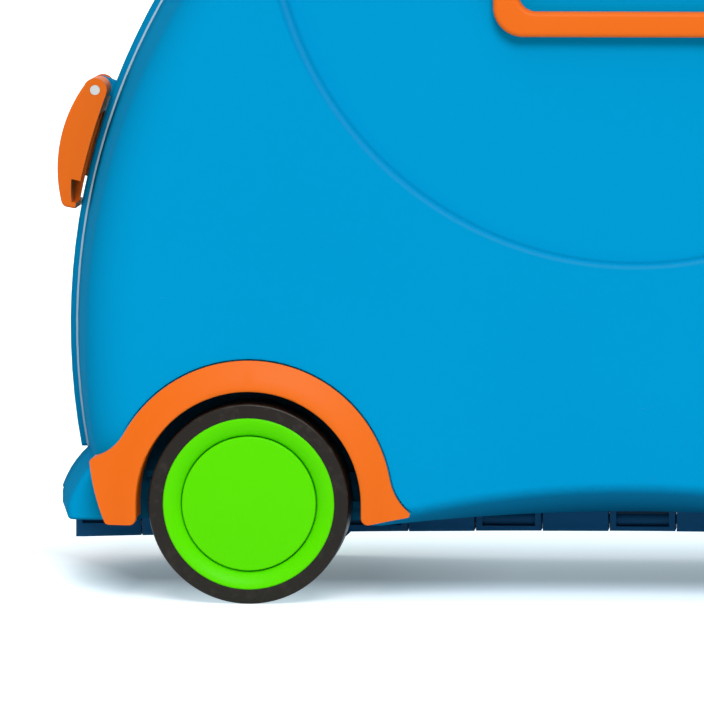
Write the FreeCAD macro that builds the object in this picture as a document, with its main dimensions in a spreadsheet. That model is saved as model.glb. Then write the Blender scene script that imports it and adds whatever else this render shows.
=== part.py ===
import FreeCAD, Part
import math
import os
import re
import Sketcher

# A child's ride-on suitcase: two moulded half shells hinged along the belly, on four wheels.
# Millimetres. X runs along the case (front at -X), Y across it (left half at -Y), Z is up.
# The origin is on the floor, at the middle of the case.

SIZES = {
    # Side outline of the case, shared by both half shells
    "case_length": 461,
    "widest_height": 103,
    "end_radius": 270,
    "crown_angle": 45,
    "crown_radius": 48,
    "saddle_angle": 20,
    "shell_bottom": 31,
    "half_width": 100,
    "shell_draft": 7.4,
    "seam_half": 1,
    "wall": 3,
    "edge_round": 22,
    "root_angle": 20,
    # Scoop that lifts the lower edge of each side
    "scoop_rise": 14,
    "scoop_radius": 407,
    "belly_flat": 26,
    "sill_round": 6,
    # Shallow round recess for the rider's leg
    "recess_radius": 143.6,
    "recess_rise": 176.8,
    "recess_depth": 2,
    "recess_lean": 2.2,
    "recess_draft": 32,
    # Raised rim of the right half and the seal between the halves
    "rim_proud": 3.4,
    "rim_width": 9,
    "rim_round": 1.8,
    "rim_tuck": 1,
    "seal_proud": 0.8,
    "seal_gap": 0.3,
    # Flared foot at each lower end
    "foot_tall": 23.8,
    "foot_flare": 6.8,
    "foot_lip": 6,
    "foot_bow": 40,
    "foot_root": 12,
    "foot_sink": 0.6,
    "foot_corner": 1.5,
    "foot_round": 4,
    # Wheels
    "wheel_setback": 77.5,
    "wheel_proud": 2.5,
    "tyre_radius": 40,
    "tyre_width": 24,
    "tyre_inset": 0.4,
    "tyre_shoulder": 4,
    "tyre_wall": 5.8,
    "rim_wall": 3.6,
    "dish_width": 7,
    "dish_depth": 3.2,
    "dish_bow": 14,
    "web_depth": 7,
    "web_thick": 4,
    "hub_radius": 11,
    "hub_length": 26,
    "cap_gap": 0.5,
    "cap_inset": 1.2,
    "cap_thick": 3,
    "cap_round": 0.8,
    "spigot_inset": 4.7,
    "spigot_wall": 2,
    # Stub axles
    "axle_radius": 4,
    "axle_head_radius": 8,
    "axle_head_thick": 2.2,
    "running_fit": 0.06,
    "end_float": 0.3,
    "boss_radius": 11,
    "boss_inner": 6,
    "clip_radius": 5.6,
    "clip_thick": 2,
    "axle_tail": 1,
    # Wheel wells
    "well_depth": 30,
    "well_gap": 0.3,
    "well_rib_lift": 9.4,
    "well_rib_pitch": 12,
    "well_rib_count": 2,
    "well_rib_thick": 2.5,
    "well_rib_deep": 3.5,
    "well_rib_short": 1.8,
    # Wheel arches, drawn about the wheel's centre
    "arch_clear": 4.8,
    "arch_band": 12.2,
    "flare_radius": 22,
    "flare_rear": 10,
    "flare_front": 29.5,
    "flare_sweep": 47,
    "leg_lift": 0.3,
    "leg_width": 12.4,
    "leg_bow": 85,
    "leg_round": 2.8,
    "leg_depth": 20,
    "arch_seat": 1.5,
    "arch_proud": 4,
    "arch_gap": 0.7,
    "arch_lip": 2,
    "arch_edge": 0.9,
    "arch_round": 0.8,
    "arch_corner": 2,
    "arch_tip": 1.2,
    "liner_thick": 2.2,
    "liner_depth": 16,
    "arch_screw_inset": 9.2,
    "arch_screw_first": 40,
    "arch_screw_step": 50,
    "arch_screw_count": 3,
    "arch_screw_bite": 2.2,
    # Screws
    "screw_radius": 1.6,
    "screw_head_radius": 2.8,
    "screw_head_thick": 2,
    "screw_bite": 4,
    # Belly hinge
    "hinge_drop": 5.5,
    "hinge_sweep": 11,
    "hinge_pin_radius": 2,
    "hinge_overhang": 0.7,
    "knuckle_count": 17,
    "knuckle_gap": 0.6,
    "knuckle_own": 8,
    "knuckle_far": 7,
    "knuckle_top": 7.5,
    "knuckle_drop": 8,
    "knuckle_waist": 4.3,
    "knuckle_arch": 7000,
    "knuckle_pocket": 2.4,
    "knuckle_frame": 2.6,
    "knuckle_sill": 1.8,
    "leaf_thick": 2.4,
    "leaf_start": 12,
    "leaf_flange": 25,
    "leaf_split": 0.3,
    "leaf_screw_count": 8,
    "leaf_screw_every": 2,
    # End latches, set out in polar form about the centre of the end curve
    "latch_gap": 0.6,
    "latch_half": 18,
    "latch_foot_angle": 10.3,
    "latch_toe": 5.2,
    "latch_bow": 58,
    "latch_pivot_angle": 20.4,
    "latch_barrel": 4.8,
    "latch_skin": 3.4,
    "latch_cheek": 2.6,
    "latch_sole_angle": 0.5,
    "latch_window_angle": 1.9,
    "latch_hollow_angle": 18.6,
    "latch_toe_round": 3,
    "latch_edge": 1,
    "latch_pin_radius": 2,
    "ear_half": 6.5,
    "ear_neck": 1.7,
    "ear_middle": 9,
    # Carry handles
    "handle_half": 56,
    "handle_bar": 10,
    "handle_thick": 7,
    "handle_drop": 36,
    "handle_corner": 12,
    "handle_below": 17.8,
    "handle_round": 2,
    "handle_pin_radius": 1.8,
    "handle_pin_proud": 1,
    "handle_stand": 0.5,
    "lug_width": 8,
    "lug_gap": 0.3,
    # Front grips
    "grip_across": 62,
    "grip_lean": 20,
    "grip_seat": 6.5,
    "grip_seat_deep": 12,
    "grip_base": 15,
    "grip_stem": 9.5,
    "grip_end": 12,
    "grip_length": 40,
    "grip_flange": 4,
}

# Sizes that follow from the driving ones, by the formula that keeps the pieces together
FOLLOWING = {
    "recess_height": "(widest_height + recess_rise)",
    "foot_top": "(shell_bottom + foot_tall)",
    "foot_toe": "(shell_bottom + foot_lip)",
    "foot_reach": "(case_length / 2 + foot_flare)",
    "rim_foot": "(foot_top - rim_tuck)",
    "wheel_offset": "(case_length / 2 - wheel_setback)",
    "wheel_face": "(half_width + wheel_proud)",
    "rim_radius": "(tyre_radius - tyre_wall)",
    "dish_radius": "(rim_radius - dish_width)",
    "cap_radius": "(dish_radius - cap_gap)",
    "spigot_radius": "(cap_radius - spigot_inset)",
    "arch_inner": "(tyre_radius + arch_clear)",
    "arch_outer": "(arch_inner + arch_band)",
    "arch_screw_circle": "(arch_inner + arch_screw_inset)",
    "leg_heel": "(arch_inner + leg_width)",
    "leg_bottom": "(tyre_radius - shell_bottom - leg_lift)",
    "well_rib_half": "(arch_inner - well_rib_short)",
    "hinge_height": "(shell_bottom - hinge_drop)",
    "knuckle_pitch": "((case_length + 2 * hinge_overhang) / knuckle_count)",
    "leaf_screw_pitch": "(leaf_screw_every * knuckle_pitch)",
    "handle_pivot": "(recess_height - handle_below)",
}

doc = FreeCAD.newDocument("ride_on_suitcase")
sheet = doc.addObject("Spreadsheet::Sheet", "sizes")
SUB_PARTS = {}


def fill_sheet():
    for row, (alias, size) in enumerate(SIZES.items(), start=1):
        sheet.set(f"A{row}", alias)
        sheet.set(f"B{row}", str(size))
        sheet.setAlias(f"B{row}", alias)
    doc.recompute()


def bind(text):
    """Write a formula of size names as one that refers to the sheet."""
    def refer(match):
        word = match[0]
        if word in FOLLOWING:
            return bind(FOLLOWING[word])
        return "sizes." + word if word in SIZES else word
    return re.sub(r"[a-z_]+", refer, text)


def value(text):
    return float(sheet.evalExpression(bind(text)))


def put(obj, **formulas):
    """Bind properties to formulas; a double underscore stands for a dot in the property's path."""
    for path, text in formulas.items():
        obj.setExpression(path.replace("__", "."), bind(text))
    return obj


def keep(label, obj):
    obj.Label = label
    SUB_PARTS[label] = obj
    return obj


# Sketches and features

def new_body(name):
    return doc.addObject("PartDesign::Body", name)


def new_sketch(body, role, offset="0"):
    """A sketch on one of the body's origin planes, moved along the plane's normal."""
    sketch = body.newObject("Sketcher::SketchObject", body.Name + "_sketch")
    plane = next(item for item in body.Origin.OriginFeatures if item.Role == role)
    sketch.AttachmentSupport = (plane, [""])
    sketch.MapMode = "FlatFace"
    return put(sketch, AttachmentOffset__Base__z=offset)


def arc_between(start, end, radius, turn):
    """The arc of under half a circle from start to end; turn is +1 for a centre on the left."""
    chord = end - start
    rise = math.sqrt(max(radius ** 2 - (chord.Length / 2) ** 2, 0))
    side = FreeCAD.Vector(-chord.y, chord.x, 0).normalize()
    centre = (start + end) * 0.5 + side * (turn * rise)
    first, last = (start, end) if turn > 0 else (end, start)
    angles = [math.atan2(point.y - centre.y, point.x - centre.x) for point in (first, last)]
    circle = Part.Circle(centre, FreeCAD.Vector(0, 0, 1), radius)
    return Part.ArcOfCircle(circle, angles[0], angles[1])


def pin_point(sketch, geometry, end, formulas):
    for kind, axis, text in zip(("DistanceX", "DistanceY"), (-2, -1), formulas):
        size = value(text)
        if abs(size) < 1e-9:
            sketch.addConstraint(Sketcher.Constraint("PointOnObject", geometry, end, axis))
            continue
        index = sketch.addConstraint(Sketcher.Constraint(kind, -1, 1, geometry, end, size))
        sketch.setExpression(f"Constraints[{index}]", bind(text))


def draw(sketch, outline):
    """Draw a closed outline. A corner is (x, y), and (x, y, radius, turn) starts an arc."""
    corners = [FreeCAD.Vector(value(corner[0]), value(corner[1]), 0) for corner in outline]
    ends = []
    for index, corner in enumerate(outline):
        start, end = corners[index], corners[(index + 1) % len(corners)]
        if len(corner) == 2:
            ends.append((sketch.addGeometry(Part.LineSegment(start, end)), 1, 2))
            continue
        geometry = sketch.addGeometry(arc_between(start, end, value(corner[2]), corner[3]))
        ends.append((geometry, 1, 2) if corner[3] > 0 else (geometry, 2, 1))
    for index, (geometry, first, last) in enumerate(ends):
        following = ends[(index + 1) % len(ends)]
        sketch.addConstraint(Sketcher.Constraint("Coincident", geometry, last, following[0], following[1]))
        pin_point(sketch, geometry, first, outline[index][:2])
        if len(outline[index]) == 4:
            radius = outline[index][2]
            number = sketch.addConstraint(Sketcher.Constraint("Radius", geometry, value(radius)))
            sketch.setExpression(f"Constraints[{number}]", bind(radius))
    return sketch


def draw_circle(sketch, radius):
    circle = Part.Circle(FreeCAD.Vector(), FreeCAD.Vector(0, 0, 1), value(radius))
    geometry = sketch.addGeometry(circle)
    sketch.addConstraint(Sketcher.Constraint("Coincident", geometry, 3, -1, 1))
    number = sketch.addConstraint(Sketcher.Constraint("Radius", geometry, value(radius)))
    sketch.setExpression(f"Constraints[{number}]", bind(radius))
    return sketch


def feature(body, kind, sketch, length, backwards=False):
    made = body.newObject("PartDesign::" + kind, f"{body.Name}_{kind.lower()}")
    made.Profile = sketch
    made.Reversed = backwards
    put(made, Length=length)
    sketch.Visibility = False
    doc.recompute()
    return made


def pad(body, sketch, length, backwards=False):
    return feature(body, "Pad", sketch, length, backwards)


def pocket(body, sketch, length, backwards=False):
    before = body.Shape.Volume
    made = feature(body, "Pocket", sketch, length, backwards)
    if body.Shape.Volume > before - 1e-3:
        raise ValueError(made.Name + " cuts nothing")
    return made


def spin(body, kind, sketch):
    """Add or take away, by a Revolution or a Groove, what a sketch sweeps once round its own first axis."""
    made = body.newObject("PartDesign::" + kind, f"{body.Name}_{kind.lower()}")
    made.Profile = sketch
    made.ReferenceAxis = (sketch, ["H_Axis"])
    made.Angle = 360
    sketch.Visibility = False
    doc.recompute()
    return made


def revolve(body, outline):
    """Turn a profile of (across, radius) corners about the line through the body's origin along Y."""
    return spin(body, "Revolution", draw(new_sketch(body, "YZ_Plane"), outline))


def round_edges(body, radius, wanted):
    """Fillet the edges of the body's last feature whose sampled points all pass the test."""
    names = [f"Edge{number}" for number, edge in enumerate(body.Shape.Edges, start=1)
             if all(wanted(point) for point in edge.discretize(5))]
    if not names:
        raise ValueError("no edges to round on " + body.Name)
    made = body.newObject("PartDesign::Fillet", body.Name + "_fillet")
    made.Base = (body.Tip if body.Tip != made else made.BaseFeature, names)
    put(made, Radius=radius)
    doc.recompute()
    return made


def subtract_cylinder(body, radius, length, place):
    made = body.newObject("PartDesign::SubtractiveCylinder", body.Name + "_cylinder")
    made.Placement = place
    put(made, Radius=radius, Height=length)
    doc.recompute()
    return made


# Part primitives and booleans

def cylinder(name, radius, length, place):
    made = doc.addObject("Part::Cylinder", name)
    made.Placement = place
    return put(made, Radius=radius, Height=length)


def box(name, corner, size):
    made = doc.addObject("Part::Box", name)
    put(made, Placement__Base__x=corner[0], Placement__Base__y=corner[1], Placement__Base__z=corner[2])
    return put(made, Length=size[0], Width=size[1], Height=size[2])


def cut(name, base, tool):
    made = doc.addObject("Part::Cut", name)
    made.Base = base
    made.Tool = tool
    return made


def fuse(name, shapes):
    made = doc.addObject("Part::MultiFuse", name)
    made.Shapes = shapes
    made.Refine = True
    return made


def group(name, shapes):
    made = doc.addObject("Part::Compound", name)
    made.Links = shapes
    return made


def mirror(name, source, across):
    """Mirror about the middle of the case: across is X for front to rear, Y for left to right."""
    made = doc.addObject("Part::Mirroring", name)
    made.Source = source
    made.Normal = FreeCAD.Vector(1, 0, 0) if across == "X" else FreeCAD.Vector(0, 1, 0)
    return made


def along(direction, x, y, z):
    """A placement at a point given by formulas, with its own Z axis turned to a direction."""
    turn = FreeCAD.Rotation(FreeCAD.Vector(0, 0, 1), FreeCAD.Vector(*direction))
    return FreeCAD.Placement(FreeCAD.Vector(value(x), value(y), value(z)), turn)


def four_corners(name, front_left):
    """Keep a piece of the front left corner, and its mirrored copies at the other corners."""
    keep("front_left_" + name, front_left)
    rear_left = keep("rear_left_" + name, mirror("rear_left_" + name, front_left, "X"))
    keep("front_right_" + name, mirror("front_right_" + name, front_left, "Y"))
    keep("rear_right_" + name, mirror("rear_right_" + name, rear_left, "Y"))
    return rear_left


def both_halves(name, left):
    keep("left_" + name, left)
    return keep("right_" + name, mirror("right_" + name, left, "Y"))


# Side outline of the case. All arcs share their centres, so an inset keeps the walls parallel.

END_X = "(case_length / 2 - end_radius)"
CROWN_X = f"({END_X} + (end_radius - crown_radius) * cos(crown_angle * 1 deg))"
CROWN_Z = "(widest_height + (end_radius - crown_radius) * sin(crown_angle * 1 deg))"
SADDLE_RADIUS = f"({CROWN_X} / sin(saddle_angle * 1 deg) - crown_radius)"


def drafted(across):
    """How far the walls have drawn in at a distance from the middle of the seam."""
    return f"((({across}) - seam_half) * tan(shell_draft * 1 deg))"


def end_x(height, inset="0"):
    return f"({END_X} + sqrt((end_radius - ({inset})) ^ 2 - (({height}) - widest_height) ^ 2))"


def case_outline(inset, foot):
    """The outline inset by some way, from a point on the rear end's curve round to its mirrored point."""
    crown = f"(crown_radius - ({inset}))"
    end = f"(end_radius - ({inset}))"
    shoulder_x = f"({END_X} + {end} * cos(crown_angle * 1 deg))"
    shoulder_z = f"(widest_height + {end} * sin(crown_angle * 1 deg))"
    saddle_x = f"({CROWN_X} - {crown} * sin(saddle_angle * 1 deg))"
    saddle_z = f"({CROWN_Z} + {crown} * cos(saddle_angle * 1 deg))"
    return [
        ("-" + foot[0], foot[1]),
        (foot[0], foot[1], end, 1),
        (shoulder_x, shoulder_z, crown, 1),
        (saddle_x, saddle_z, f"({SADDLE_RADIUS} + ({inset}))", -1),
        ("-" + saddle_x, saddle_z, crown, 1),
        ("-" + shoulder_x, shoulder_z, end, 1),
    ]


# Wheel arch and wheel well outlines, about a wheel's centre; side is -1 at the front, 1 at the rear.

def at_wheel(side, outline):
    """Move an outline drawn about the front wheel to its place, or mirror it to the rear wheel."""
    moved = []
    for corner in outline:
        x = f"(wheel_offset - ({corner[0]}))"
        x = "-" + x if side < 0 else x
        z = f"(tyre_radius + ({corner[1]}))"
        arc = (corner[2], -side * corner[3]) if len(corner) == 4 else ()
        moved.append((x, z) + arc)
    return moved


def flare_end(angle, grow, swept):
    """A point on the flare that leaves the arch at an angle, after it has swept some way round."""
    reach = "(arch_outer + flare_radius)"
    radius = f"(flare_radius - ({grow}))"
    x = f"({reach} * cos({angle} * 1 deg) - {radius} * cos(({angle} + {swept}) * 1 deg))"
    z = f"({reach} * sin({angle} * 1 deg) - {radius} * sin(({angle} + {swept}) * 1 deg))"
    return x, z


def arch_outline(grow="0"):
    flare = f"(flare_radius - ({grow}))"
    inner = f"(arch_inner - ({grow}))"
    toe = flare_end("flare_rear", grow, "flare_sweep")
    rear = flare_end("flare_rear", grow, "0")
    front = flare_end("flare_front", grow, "0")
    corner = flare_end("flare_front", grow, "flare_sweep")
    bottom = f"-(leg_bottom + ({grow}))"
    return [
        (toe[0], toe[1], flare, -1),
        (rear[0], rear[1], f"(arch_outer + ({grow}))", 1),
        ("-" + front[0], front[1], flare, -1),
        (f"-({corner[0]} + ({grow}))", corner[1], "leg_bow", 1),
        (f"-(leg_heel + ({grow}))", bottom),
        ("-" + inner, bottom),
        ("-" + inner, "0", inner, -1),
        ("0", inner, inner, -1),
        (inner, "0"),
        (inner, bottom),
    ]


def well_outline(radius):
    return [
        (f"-({radius})", "-tyre_radius"),
        (f"{radius}", "-tyre_radius"),
        (f"{radius}", "0", radius, 1),
        ("0", f"{radius}", radius, 1),
        (f"-({radius})", "0"),
    ]


WELL_RADIUS = "(arch_inner + liner_thick + well_gap)"


def cut_wells(body, radius, depth):
    for side in (-1, 1):
        sketch = draw(new_sketch(body, "XZ_Plane", "half_width"), at_wheel(side, well_outline(radius)))
        pocket(body, sketch, depth)


# Half shells

def scoop_place():
    slope = math.atan2(value("scoop_rise"), value("half_width - belly_flat"))
    direction = FreeCAD.Vector(0, math.cos(slope), -math.sin(slope))
    lip = FreeCAD.Vector(0, -value("half_width"), value("shell_bottom + scoop_rise"))
    below = FreeCAD.Vector(0, -math.sin(slope), -math.cos(slope)) * value("scoop_radius")
    start = lip + below - direction * value("wall + edge_round")
    return FreeCAD.Placement(start, FreeCAD.Rotation(FreeCAD.Vector(0, 0, 1), direction))


def cut_recess(body, deeper):
    """Cut the leaning round recess, or the wall's copy of it, into the outer side of a half."""
    sketch = draw_circle(new_sketch(body, "XZ_Plane"), f"recess_radius + ({deeper})")
    lean = FreeCAD.Rotation(FreeCAD.Vector(-1, 0, 0), value("recess_lean"))
    sketch.AttachmentOffset = FreeCAD.Placement(FreeCAD.Vector(), lean)
    floor = recess_floor("recess_height")
    put(sketch, AttachmentOffset__Base__y="recess_height", AttachmentOffset__Base__z=f"{floor} - ({deeper})")
    made = pocket(body, sketch, "half_width", backwards=True)
    put(made, TaperAngle="recess_draft")
    doc.recompute()


def root_corner(inset):
    """A point of the rear end's curve below the case, at one angle for every inset."""
    x = f"({END_X} + (end_radius - ({inset})) * cos(root_angle * 1 deg))"
    z = f"(widest_height - (end_radius - ({inset})) * sin(root_angle * 1 deg))"
    return x, z


def half_block(name, inset):
    """The outside of a half, or the space inside its walls, which draw in from the seam to the side."""
    body = new_body(name)
    side = f"(half_width - ({inset}))"
    drawn_in = f"({inset}) + {drafted(side)}"
    loft = body.newObject("PartDesign::AdditiveLoft", name + "_loft")
    loft.Profile = draw(new_sketch(body, "XZ_Plane", "seam_half"), case_outline(inset, root_corner(inset)))
    corner = root_corner(drawn_in)
    loft.Sections = [draw(new_sketch(body, "XZ_Plane", side), case_outline(drawn_in, corner))]
    loft.Ruled = True
    body.Tip = loft
    doc.recompute()
    face, reach, low = -value(side), value(corner[0]), value(corner[1])
    round_edges(body, f"edge_round - ({inset})", lambda point: abs(point.y - face) < 0.01
                and (point.z > low + 0.01 or abs(point.x) > reach - 0.01))
    floor = f"(shell_bottom + ({inset}))"
    below = [("-case_length", "-case_length"), ("case_length", "-case_length"),
             ("case_length", floor), ("-case_length", floor)]
    pocket(body, draw(new_sketch(body, "XZ_Plane", "half_width"), below), "half_width")
    subtract_cylinder(body, f"scoop_radius + ({inset})", "half_width + edge_round", scoop_place())
    return body


FOOT_WIDTH = "(half_width - edge_round - seam_half)"


def foot_body():
    """Flared foot at the lower front end, grown out of the end wall and drawn in as it is."""
    body = new_body("foot")
    root = f"-({end_x('shell_bottom')} - foot_root)"
    outline = [
        (root, "foot_top"),
        (f"-({end_x('foot_top')} - foot_sink)", "foot_top", "foot_bow", 1),
        ("-foot_reach", "foot_toe"),
        ("-foot_reach", "shell_bottom"),
        (root, "shell_bottom"),
    ]
    slant = math.tan(math.radians(value("shell_draft")))
    block = pad(body, draw(new_sketch(body, "XZ_Plane", "seam_half"), outline), FOOT_WIDTH)
    block.UseCustomVector = True
    block.Direction = FreeCAD.Vector(slant, -1, 0)
    doc.recompute()
    face = -value("half_width - edge_round")
    flared = -value(f"{end_x('foot_top')} - foot_sink - {drafted('half_width - edge_round')}")
    round_edges(body, "foot_round", lambda point: abs(point.y - face) < 0.01 and point.x < flared + 0.01)
    bottom, out = value("shell_bottom"), -value(f"foot_reach + seam_half * {slant}")
    round_edges(body, "foot_corner", lambda point: abs(point.x + point.y * slant - out) < 0.01
                and abs(point.z - bottom) < 0.01)
    return body


def axle_bosses():
    depth = "half_width - well_depth - boss_inner"
    face = "wheel_face - hub_length - end_float"
    made = []
    for side in ("-", ""):
        place = along((0, -1, 0), side + "wheel_offset", f"-({depth})", "tyre_radius")
        made.append(cylinder("axle_boss", "boss_radius", f"{face} - ({depth})", place))
    return made


def axle_bores():
    made = []
    for side in ("-", ""):
        place = along((0, -1, 0), side + "wheel_offset", "0", "tyre_radius")
        made.append(cylinder("axle_bore", "axle_radius", "half_width", place))
    return made


def well_ribs():
    made = []
    for side in ("-", ""):
        for number in range(int(value("well_rib_count"))):
            low = f"tyre_radius + well_rib_lift - {number} * well_rib_pitch - well_rib_thick / 2"
            face = "-(half_width - well_depth) - well_rib_deep"
            corner = (f"{side}wheel_offset - well_rib_half", face, low)
            size = ("2 * well_rib_half", "well_rib_deep + wall / 2", "well_rib_thick")
            made.append(box("well_rib", corner, size))
    return made


def screw_places():
    """Where the arch screws go through the side wall, on an arc over each left wheel."""
    places = []
    for side in (-1, 1):
        for number in range(int(value("arch_screw_count"))):
            angle = f"(arch_screw_first + {number} * arch_screw_step)"
            x = f"{side} * wheel_offset + arch_screw_circle * cos({angle} * 1 deg)"
            z = f"tyre_radius + arch_screw_circle * sin({angle} * 1 deg)"
            places.append((x, z))
    return places


def recess_floor(height):
    """How far from the seam the floor of the leg recess lies at a height."""
    climb = f"(({height}) + recess_radius - recess_height)"
    return f"(half_width - recess_depth - {climb} * tan(recess_lean * 1 deg))"


HANDLE_LOW = "(handle_pivot - handle_drop)"
HANDLE_Y = f"({recess_floor(HANDLE_LOW)} + handle_stand + handle_thick / 2)"
LUG_INNER = "(handle_half - handle_bar - lug_gap - lug_width)"
HANDLE_PIN = f"(handle_half + handle_pin_proud - {LUG_INNER})"


def handle_lugs():
    made = []
    for side in ("-", ""):
        x = f"{side}({LUG_INNER} + lug_width / 2) - lug_width / 2"
        round_end = along((1, 0, 0), x, f"-{HANDLE_Y}", "handle_pivot")
        made.append(cylinder("handle_lug", "handle_thick / 2", "lug_width", round_end))
        corner = (x, f"-{HANDLE_Y}", "handle_pivot - handle_thick / 2")
        reach = f"{HANDLE_Y} - {recess_floor('handle_pivot')} + wall / 2"
        made.append(box("handle_lug_root", corner, ("lug_width", reach, "handle_thick")))
    return made


def handle_pin_places():
    """Where the two pins of the left handle start, each running along X."""
    starts = (f"-({LUG_INNER} + {HANDLE_PIN})", LUG_INNER)
    return [along((1, 0, 0), x, f"-{HANDLE_Y}", "handle_pivot") for x in starts]


def handle_pins(name):
    return [cylinder(name, "handle_pin_radius", HANDLE_PIN, place) for place in handle_pin_places()]


def grip_place(lift):
    """A place on the leaning axis of the left front grip, lifted from the crown along that axis."""
    lean = math.radians(value("grip_lean"))
    direction = FreeCAD.Vector(0, -math.sin(lean), math.cos(lean))
    height = value(f"{CROWN_Z} + crown_radius - {drafted('grip_across')}")
    base = FreeCAD.Vector(-value(CROWN_X), -value("grip_across"), height)
    turn = FreeCAD.Rotation(FreeCAD.Vector(0, 0, 1), direction)
    return FreeCAD.Placement(base + direction * value(lift), turn)


def left_outside():
    """The outer form of the left half, with its recesses."""
    outside = half_block("left_outside", "0")
    side, sill = -value("half_width"), value("shell_bottom + scoop_rise")
    round_edges(outside, "sill_round", lambda point: abs(point.y - side) < 0.01 and point.z < sill + 0.01)
    cut_recess(outside, "0")
    for end in (-1, 1):
        sketch = draw(new_sketch(outside, "XZ_Plane", "half_width"), at_wheel(end, arch_outline("arch_gap")))
        pocket(outside, sketch, "arch_seat")
    cut_wells(outside, WELL_RADIUS, "well_depth")
    return outside


def left_shell(outside):
    space = half_block("left_space", "wall")
    cut_recess(space, "wall")
    cut_wells(space, f"{WELL_RADIUS} + wall", "well_depth + wall")

    front_foot = foot_body()
    footed = fuse("left_footed", [outside, front_foot, mirror("rear_foot", front_foot, "X")])
    seat = cylinder("grip_seat", "grip_base", "grip_seat + grip_seat_deep", grip_place("-grip_seat_deep"))
    added = [cut("left_walls", footed, space), seat]
    solid = fuse("left_solid", added + axle_bosses() + well_ribs() + handle_lugs())

    hinge_way = box("hinge_way", ("-case_length", "-leaf_start", "0"),
                    ("2 * case_length", "2 * leaf_start", f"{KNUCKLE_ROOT} + leaf_split"))
    holes = [hinge_way] + axle_bores() + handle_pins("handle_bore")
    for x, z in screw_places():
        place = along((0, -1, 0), x, "-(half_width - 2 * wall)", z)
        holes.append(cylinder("arch_screw_hole", "screw_radius", "2 * wall", place))
    holes.append(cylinder("grip_screw_hole", "screw_radius", "grip_seat + 2 * grip_seat_deep",
                          grip_place("-2 * grip_seat_deep")))
    for x, y in leaf_screw_places():
        place = along((0, 0, 1), x, y, "shell_bottom + wall - screw_bite / 2")
        holes.append(cylinder("leaf_screw_hole", "screw_radius", "screw_bite", place))
    return keep("left_shell", cut("left_shell", solid, fuse("left_holes", holes)))


# Rim, seal and latch ears of the right half

def rim_end(inset, below="0"):
    height = f"(rim_foot - ({below}))"
    return end_x(height, inset), height


def rim_ring(name, proud, inner, start, length, backwards, edge=None):
    body = new_body(name)
    sketch = draw(new_sketch(body, "XZ_Plane", start), case_outline(f"-({proud})", rim_end(f"-({proud})")))
    pad(body, sketch, length, backwards)
    if edge:
        faces = [body.Shape.BoundBox.YMin, body.Shape.BoundBox.YMax]
        round_edges(body, edge, lambda point: min(abs(point.y - face) for face in faces) < 0.01)
    hollow = draw(new_sketch(body, "XZ_Plane", start), case_outline(inner, rim_end(inner, "wall")))
    pocket(body, hollow, length, not backwards)
    return body


def polar(radius, angle):
    """A point about the centre of the front end's curve."""
    x = f"-({END_X} + ({radius}) * cos(({angle}) * 1 deg))"
    z = f"(widest_height + ({radius}) * sin(({angle}) * 1 deg))"
    return x, z


LATCH_FACE = "(end_radius + rim_proud + latch_gap)"
LATCH_PIVOT = polar(f"{LATCH_FACE} + latch_barrel", "latch_pivot_angle")


def latch_ear():
    """The ear on the right half that carries the front latch's pin."""
    low = "ear_middle - ear_half"
    place = along((0, 1, 0), LATCH_PIVOT[0], low, LATCH_PIVOT[1])
    barrel = cylinder("latch_ear_barrel", "latch_barrel - latch_gap", "2 * ear_half", place)
    slope = FreeCAD.Rotation(FreeCAD.Vector(0, 1, 0), value("latch_pivot_angle"))
    root = doc.addObject("Part::Box", "latch_ear_root")
    middle = FreeCAD.Vector(value(LATCH_PIVOT[0]), value(low), value(LATCH_PIVOT[1]))
    across = slope.multVec(FreeCAD.Vector(0, 0, -value("ear_neck")))
    root.Placement = FreeCAD.Placement(middle + across, slope)
    sunk = f"{drafted('ear_middle + ear_half')} + wall / 2"
    put(root, Length=f"latch_barrel + latch_gap + rim_proud + {sunk}", Width="2 * ear_half",
        Height="ear_neck + latch_barrel - latch_gap")
    bore = cylinder("latch_ear_bore", "latch_pin_radius", "2 * ear_half", place)
    return cut("latch_ear", fuse("latch_ear_solid", [barrel, root]), bore)


def right_shell(left):
    rim = rim_ring("rim", "rim_proud", "wall / 2", "-seam_half", "rim_width", True, "rim_round")
    ear = latch_ear()
    pieces = [mirror("right_half", left, "Y"), rim, ear, mirror("rear_latch_ear", ear, "X")]
    keep("right_shell", fuse("right_shell", pieces))
    seal_width = "2 * seam_half - seal_gap"
    keep("rim_seal", rim_ring("rim_seal", "seal_proud", "wall", "-seam_half", seal_width, False))


# Belly hinge

LEAF_FLOOR = "(shell_bottom + wall)"
LEAF_ROOF = "(hinge_height + hinge_sweep)"
KNUCKLE_ROOT = f"({LEAF_ROOF} + leaf_thick / 2)"


def leaf_screw_places():
    count = int(value("leaf_screw_count"))
    y = "-(leaf_start + leaf_thick + leaf_flange) / 2"
    return [(f"{number - (count - 1) / 2} * leaf_screw_pitch", y) for number in range(count)]


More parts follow.
